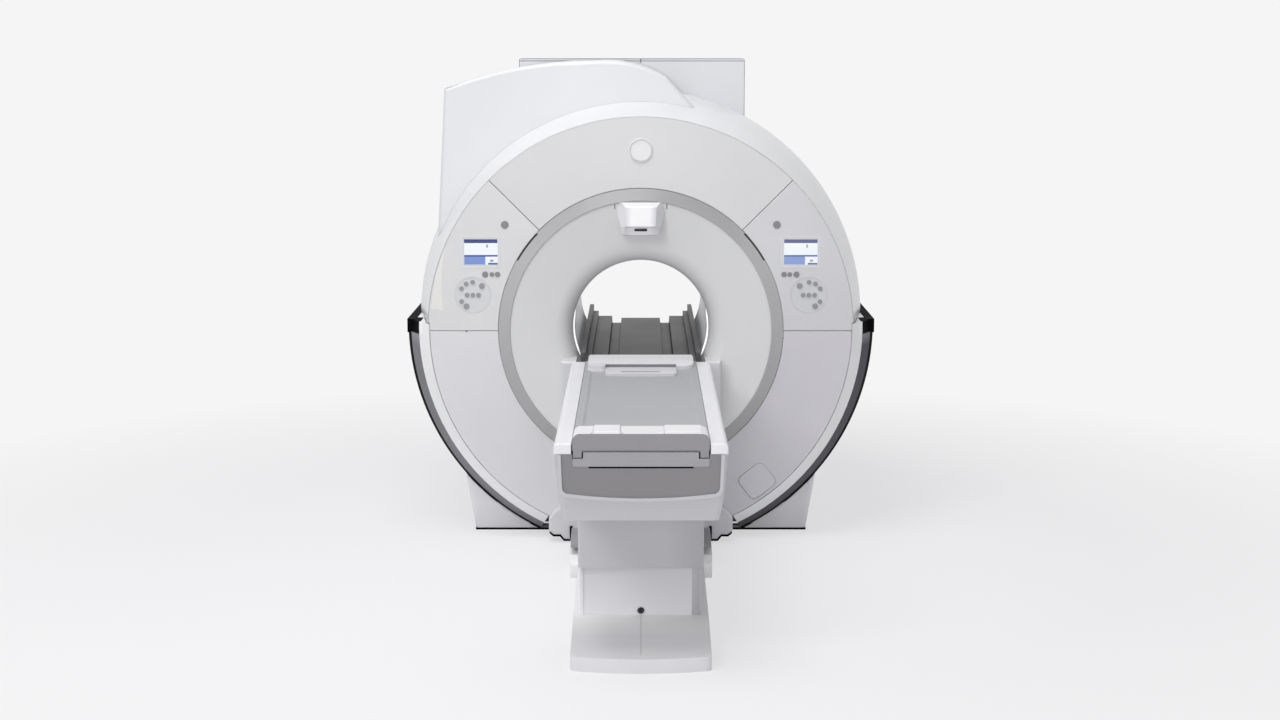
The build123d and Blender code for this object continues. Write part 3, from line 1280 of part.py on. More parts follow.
# Table frame: a deck with two hook channels along it and pockets below
FRAME_FRONT_END = TABLE_FRONT - 15
FRAME_BACK_END = TABLE_BACK + 18
with BuildPart() as table_frame:
    with BuildSketch(at_depth(-FRAME_FRONT_END)):
        with BuildLine():
            Polyline(
                (0, CRADLE_LOW - 0.5),
                (CHANNEL_INNER, CRADLE_LOW - 0.5),
                (CHANNEL_INNER, CHANNEL_LOW),
                (RAIL_INNER, CHANNEL_LOW),
                (RAIL_INNER, RAIL_LOW),
                (HULL_HALF - 8, RAIL_LOW),
                (HULL_HALF - 8, DECK_LOW),
                (0, DECK_LOW),
                close=True,
            )
        make_face()
        mirror(about=Plane.YZ)
    extrude(amount=FRAME_BACK_END - FRAME_FRONT_END)
    with BuildSketch(at_height(DECK_LOW)):
        for x in (-118, 118):
            with Locations((x, -(FRAME_FRONT_END + COLUMN_DEPTH + 150) / 2)):
                RectangleRounded(200, FRAME_FRONT_END - COLUMN_DEPTH - 230, 20)
            with Locations((x, -(COLUMN_DEPTH - 150 + FRAME_BACK_END) / 2)):
                RectangleRounded(200, COLUMN_DEPTH - FRAME_BACK_END - 230, 20)
    extrude(amount=CRADLE_LOW - DECK_LOW - 14, mode=Mode.SUBTRACT)
table_frame.part.label = "table_frame"
export_step(table_frame.part, "parts/table_frame.step")

# Table cover: a hull that closes in below, with a rim round the end fascia
RIM = 13
SAG = 22


def end_outline(inset):
    """End of the table seen from the front, with its bowed lower edge."""
    half = HULL_HALF - inset
    low = HULL_MID + inset
    with BuildSketch() as outline:
        with BuildLine():
            Line((-half, HULL_TOP), (-half + 6, low + 8))
            ThreePointArc((-half + 6, low + 8), (0, low + 8 - SAG), (half - 6, low + 8))
            Line((half - 6, low + 8), (half, HULL_TOP))
            Line((half, HULL_TOP), (-half, HULL_TOP))
        make_face()
        fillet(outline.vertices().group_by(Axis.Y)[0], 38 - inset)
    return outline.sketch


def hull(inset):
    """Solid hull of the table, drawn in by a wall."""
    with BuildPart() as solid:
        for low, high in ((0, 1), (1, 2)):
            levels = (HULL_LOW - inset / 4, HULL_MID, HULL_TOP + inset / 4)
            halves = (HULL_LOW_HALF, HULL_HALF, HULL_HALF + 14)
            fronts = (HULL_LOW_FRONT, TABLE_FRONT - 8, TABLE_FRONT - 4)
            backs = (HULL_LOW_BACK, TABLE_BACK + 12, TABLE_BACK + 5)
            for n in (low, high):
                with BuildSketch(at_height(levels[n])):
                    with Locations((0, -(fronts[n] + backs[n]) / 2)):
                        RectangleRounded(
                            2 * (halves[n] - inset), fronts[n] - backs[n] - 2 * inset, 24 - inset
                        )
            loft(ruled=True)
    return solid.part


with BuildPart() as cover:
    add(hull(0))
    with BuildSketch(at_depth(-TABLE_FRONT - 6)):
        add(end_outline(0))
    extrude(amount=-16)
    add(hull(SKIN), mode=Mode.SUBTRACT)
    with BuildSketch(at_depth(-TABLE_FRONT - 8)):
        add(end_outline(RIM))
    extrude(amount=-40, mode=Mode.SUBTRACT)
cover.part.label = "table_cover"
export_step(cover.part, "parts/table_cover.step")

# End fascia, opened at the top for the latch panel, with a slot under it
with BuildPart() as fascia:
    with BuildSketch(at_depth(-TABLE_FRONT)):
        add(end_outline(RIM + 0.5))
        with Locations((0, (LATCH_LOW + HULL_TOP) / 2 + 10)):
            Rectangle(2 * (HOOK_OUTER + 1), HULL_TOP - LATCH_LOW + 20.6, mode=Mode.SUBTRACT)
        with Locations((0, LATCH_LOW - 4)):
            Rectangle(422, 6, mode=Mode.SUBTRACT)
    extrude(amount=-14.5)
fascia.part.label = "end_fascia"
export_step(fascia.part, "parts/end_fascia.step")

# Latch panel, notched for the hooks of the cradle
with BuildPart() as latch:
    with BuildSketch(at_depth(-TABLE_FRONT - 2)):
        with Locations((0, (LATCH_LOW + LATCH_TOP) / 2)):
            Rectangle(2 * (HOOK_OUTER - 1), LATCH_TOP - LATCH_LOW)
        for side in (-1, 1):
            with Locations((side * (CHANNEL_INNER + 40), HOOK_LOW - 4 + 40)):
                Rectangle(80, 80, mode=Mode.SUBTRACT)
    extrude(amount=-15)
latch.part.label = "latch_panel"
export_step(latch.part, "parts/latch_panel.step")

# Side rails with a rolled outer edge and a rounded front end
for side, name in ((-1, "left"), (1, "right")):
    with BuildPart() as rail:
        with BuildSketch(at_depth(-TABLE_FRONT)):
            with BuildLine():
                Polyline(
                    (side * (RAIL_INNER + 0.5), RAIL_LOW),
                    (side * RAIL_OUTER, RAIL_LOW),
                    (side * RAIL_OUTER, RAIL_TOP),
                    (side * (RAIL_INNER + 0.5), RAIL_TOP),
                    close=True,
                )
            make_face()
        extrude(amount=TABLE_BACK - TABLE_FRONT)
        top = rail.faces().sort_by(Axis.Z)[-1]
        fillet(top.edges().sort_by(lambda e: side * e.center().X)[-1], 20)
        fillet(rail.faces().sort_by(Axis.Y)[0].edges(), 6)
    rail.part.label = name + "_side_rail"
    export_step(rail.part, "parts/" + name + "_side_rail.step")

# Cradle: a shallow tray whose edges ride on the steps of the bridge
FLANGE = CRADLE_LOW + 31.1
CRADLE_HALF_SECTION = (
    (0, CRADLE_LOW),
    (STEP_INNER - 4, CRADLE_LOW),
    (STEP_INNER - 4, FLANGE),
    (CRADLE_HALF, FLANGE),
    (CRADLE_HALF, FLANGE + 8),
    (CRADLE_HALF - 30, FLANGE + 8),
    (CRADLE_HALF - 42, CRADLE_SURFACE + 1),
)
with BuildSketch() as cradle_section:
    with BuildLine():
        Polyline(*CRADLE_HALF_SECTION)
        ThreePointArc(
            (CRADLE_HALF - 42, CRADLE_SURFACE + 1),
            (CRADLE_HALF / 2 - 20, CRADLE_SURFACE - 3),
            (0, CRADLE_SURFACE - 4.3),
        )
        Line((0, CRADLE_SURFACE - 4.3), (0, CRADLE_LOW))
    make_face()
    mirror(about=Plane.YZ)
CRADLE_FRONT = TABLE_FRONT - 14
CRADLE_BACK = TABLE_BACK - 15
with BuildPart() as cradle:
    with BuildSketch(at_depth(-CRADLE_FRONT)):
        add(cradle_section.sketch)
    extrude(amount=CRADLE_BACK - CRADLE_FRONT)
cradle.part.label = "cradle"
export_step(cradle.part, "parts/cradle.step")

with BuildPart() as cradle_room:
    with BuildSketch(at_depth(-CRADLE_FRONT - GAP)):
        add(offset(cradle_section.sketch, amount=GAP))
    extrude(amount=CRADLE_BACK - CRADLE_FRONT)

# End cap of the cradle: a bolster with a dark end face and a hook at each corner
with BuildPart() as end_cap:
    with BuildSketch(at_depth(-TABLE_FRONT)):
        with Locations((0, (CAP_TOP + CAP_FACE_LOW) / 2)):
            Rectangle(2 * CRADLE_HALF - 4, CAP_TOP - CAP_FACE_LOW)
    extrude(amount=-CAP_LENGTH)
    fillet(end_cap.edges().filter_by(Axis.Y).group_by(Axis.Z)[-1], 30)
    with BuildSketch(at_height(CAP_TOP)):
        with Locations((-138, 52 - TABLE_FRONT)):
            RectangleRounded(114, 90, 8)
        with Locations((150, 52 - TABLE_FRONT)):
            RectangleRounded(150, 90, 8)
    extrude(amount=3)
    with BuildSketch(at_depth(-TABLE_FRONT)):
        for side in (-1, 1):
            with Locations((side * (HOOK_INNER + HOOK_OUTER - 3) / 2, (HOOK_LOW + CAP_FACE_LOW) / 2 + 5)):
                Rectangle(HOOK_OUTER - HOOK_INNER - 3, CAP_FACE_LOW - HOOK_LOW + 10)
    extrude(amount=-13)
    with BuildSketch(at_depth(14 - TABLE_FRONT)):
        with Locations((0, CRADLE_LOW - 40)):
            Rectangle(2 * CRADLE_HALF, 2 * (FLANGE + 8 - CRADLE_LOW) + 40)
    extrude(amount=-CAP_LENGTH, mode=Mode.SUBTRACT)
    add(cradle_room.part, mode=Mode.SUBTRACT)
end_cap.part.label = "cradle_end_cap"
export_step(end_cap.part, "parts/cradle_end_cap.step")

# Coil port unit at the far end of the cradle, in two tiers with a slot in each
UNIT_TOP = CRADLE_SURFACE + 44
UNIT_HALF = 262
UNIT_FRONT = 330
LEDGE_FRONT = 516
LEDGE_HALF = 174
with BuildPart() as port_unit:
    with BuildSketch(side_view(-UNIT_HALF)):
        with BuildLine():
            FilletPolyline(
                (-CRADLE_BACK - 14, CRADLE_SURFACE - 10),
                (-CRADLE_BACK - 14, UNIT_TOP),
                (-UNIT_FRONT + 60, UNIT_TOP - 4),
                (-UNIT_FRONT, CRADLE_SURFACE + 22),
                (-UNIT_FRONT, CRADLE_SURFACE - 10),
                radius=8,
            )
            Line((-UNIT_FRONT, CRADLE_SURFACE - 10), (-CRADLE_BACK - 14, CRADLE_SURFACE - 10))
        make_face()
    extrude(amount=2 * UNIT_HALF)
    with BuildSketch(at_height(CRADLE_SURFACE - 20)):
        with Locations((0, -(CRADLE_BACK + UNIT_FRONT) / 2)):
            RectangleRounded(2 * UNIT_HALF, UNIT_FRONT - CRADLE_BACK, 40)
    extrude(amount=UNIT_TOP - CRADLE_SURFACE + 40, mode=Mode.INTERSECT)
    fillet(port_unit.faces().sort_by(Axis.Z)[-1].edges(), 6)
    with BuildSketch(at_height(CRADLE_SURFACE - 10)):
        with Locations((0, -(LEDGE_FRONT + UNIT_FRONT - 40) / 2)):
            RectangleRounded(2 * LEDGE_HALF, LEDGE_FRONT - UNIT_FRONT + 40, 24)
        with Locations((-UNIT_HALF + 46, -UNIT_FRONT - 10)):
            RectangleRounded(92, 160, 24)
    extrude(amount=20)
    with BuildSketch(at_height(CRADLE_SURFACE)):
        with Locations((-UNIT_HALF + 44, -UNIT_FRONT)):
            RectangleRounded(84, 150, 20)
    extrude(amount=30)
    with BuildSketch(at_depth(-UNIT_FRONT - 1)):
        with Locations((0, CRADLE_SURFACE + 18)):
            Rectangle(2 * LEDGE_HALF, 14)
    extrude(amount=-30, mode=Mode.SUBTRACT)
    with BuildSketch(at_height(CRADLE_SURFACE + 10)):
        with Locations((0, -447)):
            SlotOverall(198, 44)
    extrude(amount=-8, mode=Mode.SUBTRACT)
    add(cradle_room.part, mode=Mode.SUBTRACT)
    with BuildSketch(at_depth(-LEDGE_FRONT - 10)):
        for side in (-1, 1):
            with Locations((side * (CRADLE_HALF - 1), CRADLE_LOW)):
                Rectangle(60, 2 * (FLANGE + 8 + GAP - CRADLE_LOW))
    extrude(amount=CRADLE_BACK - LEDGE_FRONT - 10, mode=Mode.SUBTRACT)
port_unit.part.label = "coil_port_unit"
export_step(port_unit.part, "parts/coil_port_unit.step")
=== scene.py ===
import math

import bmesh
import bpy
from mathutils import Matrix, Vector


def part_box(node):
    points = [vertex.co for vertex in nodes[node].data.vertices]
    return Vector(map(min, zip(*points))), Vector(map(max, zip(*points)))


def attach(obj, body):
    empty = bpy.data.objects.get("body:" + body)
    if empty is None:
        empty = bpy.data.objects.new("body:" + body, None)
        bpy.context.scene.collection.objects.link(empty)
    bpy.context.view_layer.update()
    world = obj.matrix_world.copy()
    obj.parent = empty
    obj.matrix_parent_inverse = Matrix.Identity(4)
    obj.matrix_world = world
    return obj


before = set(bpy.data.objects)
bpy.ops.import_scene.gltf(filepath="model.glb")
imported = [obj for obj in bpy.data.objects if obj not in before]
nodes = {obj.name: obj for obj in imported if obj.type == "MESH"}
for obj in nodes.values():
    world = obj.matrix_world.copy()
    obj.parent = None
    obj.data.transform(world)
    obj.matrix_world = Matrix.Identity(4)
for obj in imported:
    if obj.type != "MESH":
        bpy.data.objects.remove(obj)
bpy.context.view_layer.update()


def centre(name):
    """Middle of a node's box, seen from the front."""
    low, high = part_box(name)
    return (low[0] + high[0]) / 2, (low[2] + high[2]) / 2


# Sides of a node's box at rest
def front_of(name):
    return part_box(name)[0][1]


def back_of(name):
    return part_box(name)[1][1]


def right_of(name):
    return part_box(name)[1][0]


def top_of(name):
    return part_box(name)[1][2]


# Places that the pieces share, in metres: front face, axis of the bore, rear faces and their grooves' depth
FACE = front_of("top_panel")
BORE_Z = centre("bezel_ring")[1]
REAR = back_of("rear_cover")
TOWER_REAR = back_of("service_tower")
GROOVE = 0.004


def lin(*rgb):
    """Display colour from 0 to 255 as the linear colour that a shader takes."""
    out = []
    for c in rgb:
        c = c / 255
        out.append(c / 12.92 if c <= 0.04045 else ((c + 0.055) / 1.055) ** 2.4)
    return tuple(out) + (1.0,)


# Materials
class Graph:
    """Short calls for building one material's nodes."""

    def __init__(self, name):
        self.mat = bpy.data.materials.new(name)
        self.mat.use_nodes = True
        self.tree = self.mat.node_tree
        self.bsdf = self.tree.nodes["Principled BSDF"]
        self.coord = self.tree.nodes.new("ShaderNodeTexCoord")
        self.place = self.coord.outputs["Object"]
        self.axes = None

    def node(self, kind, **values):
        n = self.tree.nodes.new(kind)
        for key, value in values.items():
            setattr(n, key, value)
        return n

    def link(self, a, b):
        self.tree.links.new(a, b)

    def noise(self, scale, detail=2.0, rough=0.5, stretch=None):
        n = self.node("ShaderNodeTexNoise")
        n.inputs["Scale"].default_value = scale
        n.inputs["Detail"].default_value = detail
        n.inputs["Roughness"].default_value = rough
        source = self.place
        if stretch:
            m = self.node("ShaderNodeMapping")
            m.inputs["Scale"].default_value = stretch
            self.link(self.place, m.inputs["Vector"])
            source = m.outputs["Vector"]
        self.link(source, n.inputs["Vector"])
        return n.outputs["Fac"]

    def span(self, value, low, high, to_low, to_high):
        n = self.node("ShaderNodeMapRange")
        n.inputs["From Min"].default_value = low
        n.inputs["From Max"].default_value = high
        n.inputs["To Min"].default_value = to_low
        n.inputs["To Max"].default_value = to_high
        self.link(value, n.inputs["Value"])
        return n.outputs["Result"]

    def math(self, kind, a, b=None):
        n = self.node("ShaderNodeMath", operation=kind)
        for spot, value in enumerate((a, b)):
            if value is None:
                continue
            if isinstance(value, (int, float)):
                n.inputs[spot].default_value = value
            else:
                self.link(value, n.inputs[spot])
        return n.outputs[0]

    def axis(self, letter):
        if self.axes is None:
            self.axes = self.node("ShaderNodeSeparateXYZ")
            self.link(self.place, self.axes.inputs[0])
        return self.axes.outputs[letter]

    def mix(self, fac, a, b):
        n = self.node("ShaderNodeMix", data_type="RGBA")
        for spot, value in ((6, a), (7, b)):
            if isinstance(value, tuple):
                n.inputs[spot].default_value = value
            else:
                self.link(value, n.inputs[spot])
        if isinstance(fac, (int, float)):
            n.inputs[0].default_value = fac
        else:
            self.link(fac, n.inputs[0])
        return n.outputs[2]

    def both(self, first, *others):
        """1 where every mask is 1. A number among them scales the result."""
        for other in others:
            first = self.math("MULTIPLY", first, other)
        return first

    def either(self, first, *others):
        """1 where any mask is 1."""
        for other in others:
            first = self.math("MAXIMUM", first, other)
        return first

    def between(self, value, low, high):
        """1 where a value lies between two others."""
        return self.both(self.math("GREATER_THAN", value, low), self.math("LESS_THAN", value, high))

    def within(self, letter, low, high):
        """1 where a coordinate lies between two values."""
        return self.between(self.axis(letter), low, high)

    def above(self, letter, value):
        return self.math("GREATER_THAN", self.axis(letter), value)

    def below(self, letter, value):
        return self.math("LESS_THAN", self.axis(letter), value)

    def box(self, x0, x1, z0, z1):
        return self.both(self.within("X", x0, x1), self.within("Z", z0, z1))

    def across(self):
        """Distance from the middle plane."""
        return self.math("ABSOLUTE", self.axis("X"))

    def distance(self, a, b):
        """Length across two distances at right angles."""
        squares = self.math("ADD", self.math("MULTIPLY", a, a), self.math("MULTIPLY", b, b))
        return self.math("SQRT", squares)

    def radius(self, height=BORE_Z):
        """Distance from an axis that runs front to back at a height."""
        return self.distance(self.axis("X"), self.math("SUBTRACT", self.axis("Z"), height))

    def bump(self, height, strength, distance):
        n = self.node("ShaderNodeBump")
        n.inputs["Strength"].default_value = strength
        n.inputs["Distance"].default_value = distance
        self.link(height, n.inputs["Height"])
        self.link(n.outputs["Normal"], self.bsdf.inputs["Normal"])

    def colour(self, value):
        if isinstance(value, tuple):
            self.bsdf.inputs["Base Color"].default_value = value
        else:
            self.link(value, self.bsdf.inputs["Base Color"])


def shade(rgb, amount):
    """Colour made lighter or darker by an amount, kept between 0 and 255."""
    return tuple(max(0, min(255, c + amount)) for c in rgb)


# Slow change of tone over a moulded surface, of 255, to each side of its colour
DRIFT = 2.5


def moulded(name, rgb, rough, grain=420, peel=0.06, coat=0.0, metal=0.0, masks=()):
    """Lacquered or moulded surface: slow drift of tone, fine grain in gloss and height."""
    g = Graph(name)
    slow = g.noise(1.7, 3.0)
    fine = g.noise(grain, 3.0, 0.6)
    base = g.mix(g.span(slow, 0.3, 0.7, 0, 1), lin(*shade(rgb, -DRIFT)), lin(*shade(rgb, DRIFT)))
    speck = g.mix(g.span(fine, 0.25, 0.8, 0, 0.35), base, lin(*shade(rgb, -7)))
    for mask in masks:
        speck = mask(g, speck)
    g.colour(speck)
    g.link(g.span(g.noise(2.5, 2.0), 0.3, 0.7, rough - 0.02, rough + 0.03), g.bsdf.inputs["Roughness"])
    g.bsdf.inputs["Metallic"].default_value = metal
    g.bsdf.inputs["Coat Weight"].default_value = coat
    g.bsdf.inputs["Coat Roughness"].default_value = 0.15
    g.bump(fine, peel, 0.0006)
    return g.mat


def floor_dirt_and_shade(high, rgb, most):
    """Slight patchy greying towards the floor: dirt, as on anything that is mopped round, and painted shade
    near the floor.
    """

    def mask(g, base):
        patch = g.span(g.noise(9.0, 4.0), 0.35, 0.75, 0.5, 1.0)
        fade = g.math("MULTIPLY", g.span(g.axis("Z"), 0.0, high, most, 0.0), patch)
        return g.mix(fade, base, lin(*rgb))

    return mask


def brushed(name, rgb, rough, metal, stretch):
    """Brushed or turned metal: fine lines across its sheen."""
    g = Graph(name)
    lines = g.noise(3.0, 5.0, 0.6, stretch)
    g.colour(g.mix(lines, lin(*shade(rgb, -10)), lin(*shade(rgb, 8))))
    g.link(g.span(lines, 0.2, 0.8, rough - 0.06, rough + 0.1), g.bsdf.inputs["Roughness"])
    g.bsdf.inputs["Metallic"].default_value = metal
    g.bump(lines, 0.08, 0.0004)
    return g.mat


def rubber(name, rgb, rough, gloss, masks=()):
    """Rubber: scuffed tone, coarse grain and its own share of gloss."""
    g = Graph(name)
    g.bsdf.inputs["Specular IOR Level"].default_value = gloss
    fine = g.noise(260, 4.0, 0.7)
    scuff = g.noise(14, 5.0, 0.65)
    base = g.mix(g.span(scuff, 0.45, 0.8, 0, 0.5), lin(*rgb), lin(*shade(rgb, 14)))
    for mask in masks:
        base = mask(g, base)
    g.colour(base)
    g.link(g.span(scuff, 0.3, 0.7, rough - 0.08, rough + 0.1), g.bsdf.inputs["Roughness"])
    g.bump(fine, 0.25, 0.0008)
    return g.mat


def wound(name, rgb, accent, pitch):
    """Potted winding: bands along the bore under resin."""
    g = Graph(name)
    wave = g.node("ShaderNodeTexWave", bands_direction="Y")
    wave.inputs["Scale"].default_value = pitch
    wave.inputs["Distortion"].default_value = 0.4
    g.link(g.place, wave.inputs["Vector"])
    g.colour(g.mix(wave.outputs["Fac"], lin(*rgb), lin(*accent)))
    g.bsdf.inputs["Roughness"].default_value = 0.35
    g.bump(wave.outputs["Fac"], 0.3, 0.002)
    return g.mat


def glowing(name, rgb, strength):
    """Moulded surface with a faint glow of its own, as painted light on the bore and on its highlight
    strips.
    """
    mat = moulded(name, rgb, 0.3)
    bsdf = mat.node_tree.nodes["Principled BSDF"]
    bsdf.inputs["Emission Color"].default_value = lin(*rgb)
    bsdf.inputs["Emission Strength"].default_value = strength
    return mat


# Bumpers: radius of the black outer edge, height where the black upper end starts, and the painted
# highlight below it
BUMPER_EDGE_R = right_of("right_bumper") - 0.019
BUMPER_END_Z = (BORE_Z - 0.032, BORE_Z - 0.024)
SHEEN_Z = (BORE_Z - 0.09, BORE_Z - 0.028)
SHEEN_FULL_Z = BORE_Z - 0.035


def bumper_mask(g, base):
    """Black along the outer edge and round the upper end, with a grey painted highlight on the front slope.
    """
    sheen = g.both(g.within("Z", *SHEEN_Z), g.span(g.axis("Z"), SHEEN_Z[0], SHEEN_FULL_Z, 0, 0.6))
    base = g.mix(sheen, base, lin(176, 176, 180))
    outer = g.math("GREATER_THAN", g.radius(), BUMPER_EDGE_R)
    end = g.span(g.axis("Z"), *BUMPER_END_Z, 0, 1)
    return g.mix(g.either(outer, end), base, lin(13, 13, 15))


# Light pod: where its face turns into the flanks, and heights measured from its own box
POD_TURN_X = (0.046, 0.074)
POD_BEVEL = 0.019
POD_CHIN = 0.0495
POD_SLOT_HALF = 0.0335
POD_SLOT_UP = (0.0255, 0.0425)
POD_SLOT_IN = 0.0115


def pod_mask(g, base):
    """Paler face between two flanks of painted shade, the right one darker, painted shade along the top
    bevel and over the lower part, and a black slot below.
    """
    low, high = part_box("light_pod")
    flank = g.mix(g.above("X", 0.0), lin(220, 220, 223), lin(208, 208, 212))
    base = g.mix(g.span(g.across(), *POD_TURN_X, 0, 1), base, flank)
    base = g.mix(g.above("Z", high[2] - POD_BEVEL), base, lin(212, 212, 215))
    base = g.mix(g.both(g.below("Z", low[2] + POD_CHIN), 0.55), base, lin(196, 196, 199))
    slot = g.box(-POD_SLOT_HALF, POD_SLOT_HALF, low[2] + POD_SLOT_UP[0], low[2] + POD_SLOT_UP[1])
    return g.mix(g.both(slot, g.above("Y", low[1] + POD_SLOT_IN)), base, lin(14, 14, 16))


# Bell: slits beside the pod, and a depth that only the front bell reaches
CORNER_SLIT_X = (0.1285, 0.1335)
CORNER_SLIT_Z = (top_of("light_pod") - 0.035, top_of("light_pod") - 0.002)
FRONT_BELL_DEPTH = 0.4


def bell_mask(g, base):
    """Short dark slits beside the upper corners of the light pod."""
    slit = g.both(g.between(g.across(), *CORNER_SLIT_X), g.within("Z", *CORNER_SLIT_Z))
    return g.mix(g.both(slit, g.below("Y", FACE + FRONT_BELL_DEPTH)), base, lin(112, 112, 116))


# Ring: where its painted shade and painted light change, and the slits in its outer edge
RING_SHADE_Z = (BORE_Z + 0.36, BORE_Z + 0.66)
RING_LIGHT_X = (0.45, 0.7)
RING_EDGE_R = right_of("bezel_ring") - 0.0089
RING_SLIT_Z = (BORE_Z + 0.361, BORE_Z + 0.497)


def ring_mask(g, base):
    """Painted shade at the top, painted light at the right, and a dark slit in the outer edge high on each
    side.
    """
    base = g.mix(g.span(g.axis("Z"), *RING_SHADE_Z, 0, 1), base, lin(156, 155, 157))
    base = g.mix(g.span(g.axis("X"), *RING_LIGHT_X, 0, 0.8), base, lin(192, 191, 193))
    edge = g.math("GREATER_THAN", g.radius(), RING_EDGE_R)
    return g.mix(g.both(edge, g.within("Z", *RING_SLIT_Z)), base, lin(40, 40, 44))


# Cap: distance from its edge to the inner and the outer side of its painted shadow line
CAP_RIM = (0.0085, 0.0045)


def cap_mask(g, base):
    """Painted shadow line round the rim of the cap."""
    away = g.radius(centre("round_cap")[1])
    edge = right_of("round_cap")
    return g.mix(g.between(away, edge - CAP_RIM[0], edge - CAP_RIM[1]), base, lin(176, 176, 180))


# Fascia: height and half width of its long slot, and the play round it that is painted black as shade
SLOT_Z = top_of("end_fascia") - 0.052
SLOT_HALF = 0.2105
SLOT_PLAY_Z = 0.006
SLOT_PLAY_X = 0.0035
SLOT_IN = 0.0015


def slot_mask(g, base):
    """Painted shade: black inside the long slot of the fascia."""
    half = SLOT_HALF + SLOT_PLAY_X
    slot = g.box(-half, half, SLOT_Z - SLOT_PLAY_Z, SLOT_Z + SLOT_PLAY_Z)
    inside = g.above("Y", front_of("end_fascia") + SLOT_IN)
    return g.mix(g.both(slot, inside), base, lin(8, 8, 9))


# Covers of the table: where their painted light and shade change, and the joint line in the foot
LOW_FADE_Z = (0.32, 0.1)
LOW_FLANK_X = 0.22
MIDDLE_FADE_X = (0.1, 0.24)
APRON_DEPTH = (-1.75, -2.1)
FOOT_DEPTH = (-1.95, -1.7)
FOOT_LINE_HALF = 0.0016
FOOT_LINE_END = -2.17


def low_mask(g, base):
    """Painted light on the low cover towards the floor, and painted shade on its right side."""
    base = g.mix(g.span(g.axis("Z"), *LOW_FADE_Z, 0, 1), base, lin(242, 241, 244))
    return g.mix(g.above("X", LOW_FLANK_X), base, lin(196, 195, 199))


def middle_mask(g, base):
    """Painted shade darkens the middle cover towards its right side."""
    return g.mix(g.span(g.axis("X"), *MIDDLE_FADE_X, 0, 1), base, lin(188, 187, 191))


def apron_mask(g, base):
    """The front end of the hull, under the fascia, is greyer with painted shade."""
    near = g.span(g.axis("Y"), FACE + APRON_DEPTH[0], FACE + APRON_DEPTH[1], 0, 1)
    return g.mix(near, base, lin(198, 197, 201))


def base_mask(g, base):
    """Fine joint line down the middle of the foot, and painted light that makes the foot palest beside the
    cover.
    """
    pale = g.span(g.axis("Y"), FACE + FOOT_DEPTH[0], FACE + FOOT_DEPTH[1], 0, 1)
    base = g.mix(pale, base, lin(252, 252, 253))
    line = g.both(g.within("X", -FOOT_LINE_HALF, FOOT_LINE_HALF), g.above("Y", FACE + FOOT_LINE_END))
    return g.mix(g.both(line, 0.5), base, lin(130, 130, 134))


# Port unit: its front slot and the slot in its top, as half width, way up and way in from its low corner
UNIT_SLOT_HALF = 0.1745
UNIT_SLOT_UP = (0.0145, 0.0295)
UNIT_SLOT_IN = (0.1875, 0.226)
UNIT_TOP_HALF = 0.0995
UNIT_TOP_UP = 0.0125
UNIT_TOP_IN = (0.0465, 0.0915)


def port_mask(g, base):
    """Painted shade inside the two slots of the port unit."""
    low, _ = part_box("coil_port_unit")
    front = g.box(-UNIT_SLOT_HALF, UNIT_SLOT_HALF, low[2] + UNIT_SLOT_UP[0], low[2] + UNIT_SLOT_UP[1])
    front = g.both(front, g.within("Y", low[1] + UNIT_SLOT_IN[0], low[1] + UNIT_SLOT_IN[1]))
    top = g.both(g.within("X", -UNIT_TOP_HALF, UNIT_TOP_HALF), g.below("Z", low[2] + UNIT_TOP_UP))
    top = g.both(top, g.within("Y", low[1] + UNIT_TOP_IN[0], low[1] + UNIT_TOP_IN[1]))
    return g.mix(g.either(front, top), base, lin(196, 196, 200))


# End cap: fine joint lines on its top, and how far the grey of its end face reaches back
CAP_JOINT_X = (-0.1945, -0.0835, 0.0915)
CAP_JOINT_WIDTH = 0.0035
CAP_TOP = 0.007
CAP_FACE = 0.0012


def end_face_mask(g, base):
    """Grey end face, and a fine joint line beside each raised pad."""
    joints = g.either(*(g.within("X", x, x + CAP_JOINT_WIDTH) for x in CAP_JOINT_X))
    joints = g.both(joints, g.above("Z", top_of("cradle_end_cap") - CAP_TOP))
    base = g.mix(joints, base, lin(196, 195, 199))
    return g.mix(g.below("Y", front_of("cradle_end_cap") + CAP_FACE), base, lin(145, 143, 147))


# Keypads: the keys' faces stand this far before the front face
KEY_PROUD = 0.0012


def key_mask(g, base):
    """The keys stand proud of the mat's floor."""
    return g.mix(g.below("Y", FACE - KEY_PROUD), base, lin(150, 150, 154))


def groove_mask(rear):
    """Painted shade darkens the floors of the grooves in a rear face."""

    def mask(g, base):
        floor = rear - GROOVE
        return g.mix(g.within("Y", floor - 0.0005, floor + 0.0005), base, lin(58, 58, 62))

    return mask


# Tower: shadow line below its top, width of its fine edges, and the tick at the middle of its top
LID_DOWN = (0.0155, 0.0118)
TOWER_LINE = 0.0035
TICK_HALF = 0.004
TICK_LENGTH = 0.024
TOWER_FRONT = 0.0015


def lid_mask(g, base):
    """Shadow line under the lid of the tower, fine dark edges and a tick at the middle of the top."""
    low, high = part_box("service_tower")
    from_middle = g.math("ABSOLUTE", g.math("SUBTRACT", g.axis("X"), centre("service_tower")[0]))
    side = g.math("GREATER_THAN", from_middle, (high[0] - low[0]) / 2 - TOWER_LINE)
    tick = g.both(g.within("X", -TICK_HALF, TICK_HALF), g.above("Z", high[2] - TICK_LENGTH))
    lines = g.either(side, g.above("Z", high[2] - TOWER_LINE), tick)
    base = g.mix(g.both(lines, g.below("Y", low[1] + TOWER_FRONT)), base, lin(130, 130, 135))
    shadow = g.within("Z", high[2] - LID_DOWN[0], high[2] - LID_DOWN[1])
    return g.mix(shadow, base, lin(120, 120, 125))


# Dirt and painted shade near the floor: height that it reaches, its colour and its strength
PLINTH_DIRT_AND_SHADE = floor_dirt_and_shade(0.14, (196, 196, 199), 0.35)
FAIRING_DIRT_AND_SHADE = floor_dirt_and_shade(0.12, (196, 196, 199), 0.3)
FOOT_DIRT_AND_SHADE = floor_dirt_and_shade(0.1, (200, 200, 203), 0.3)

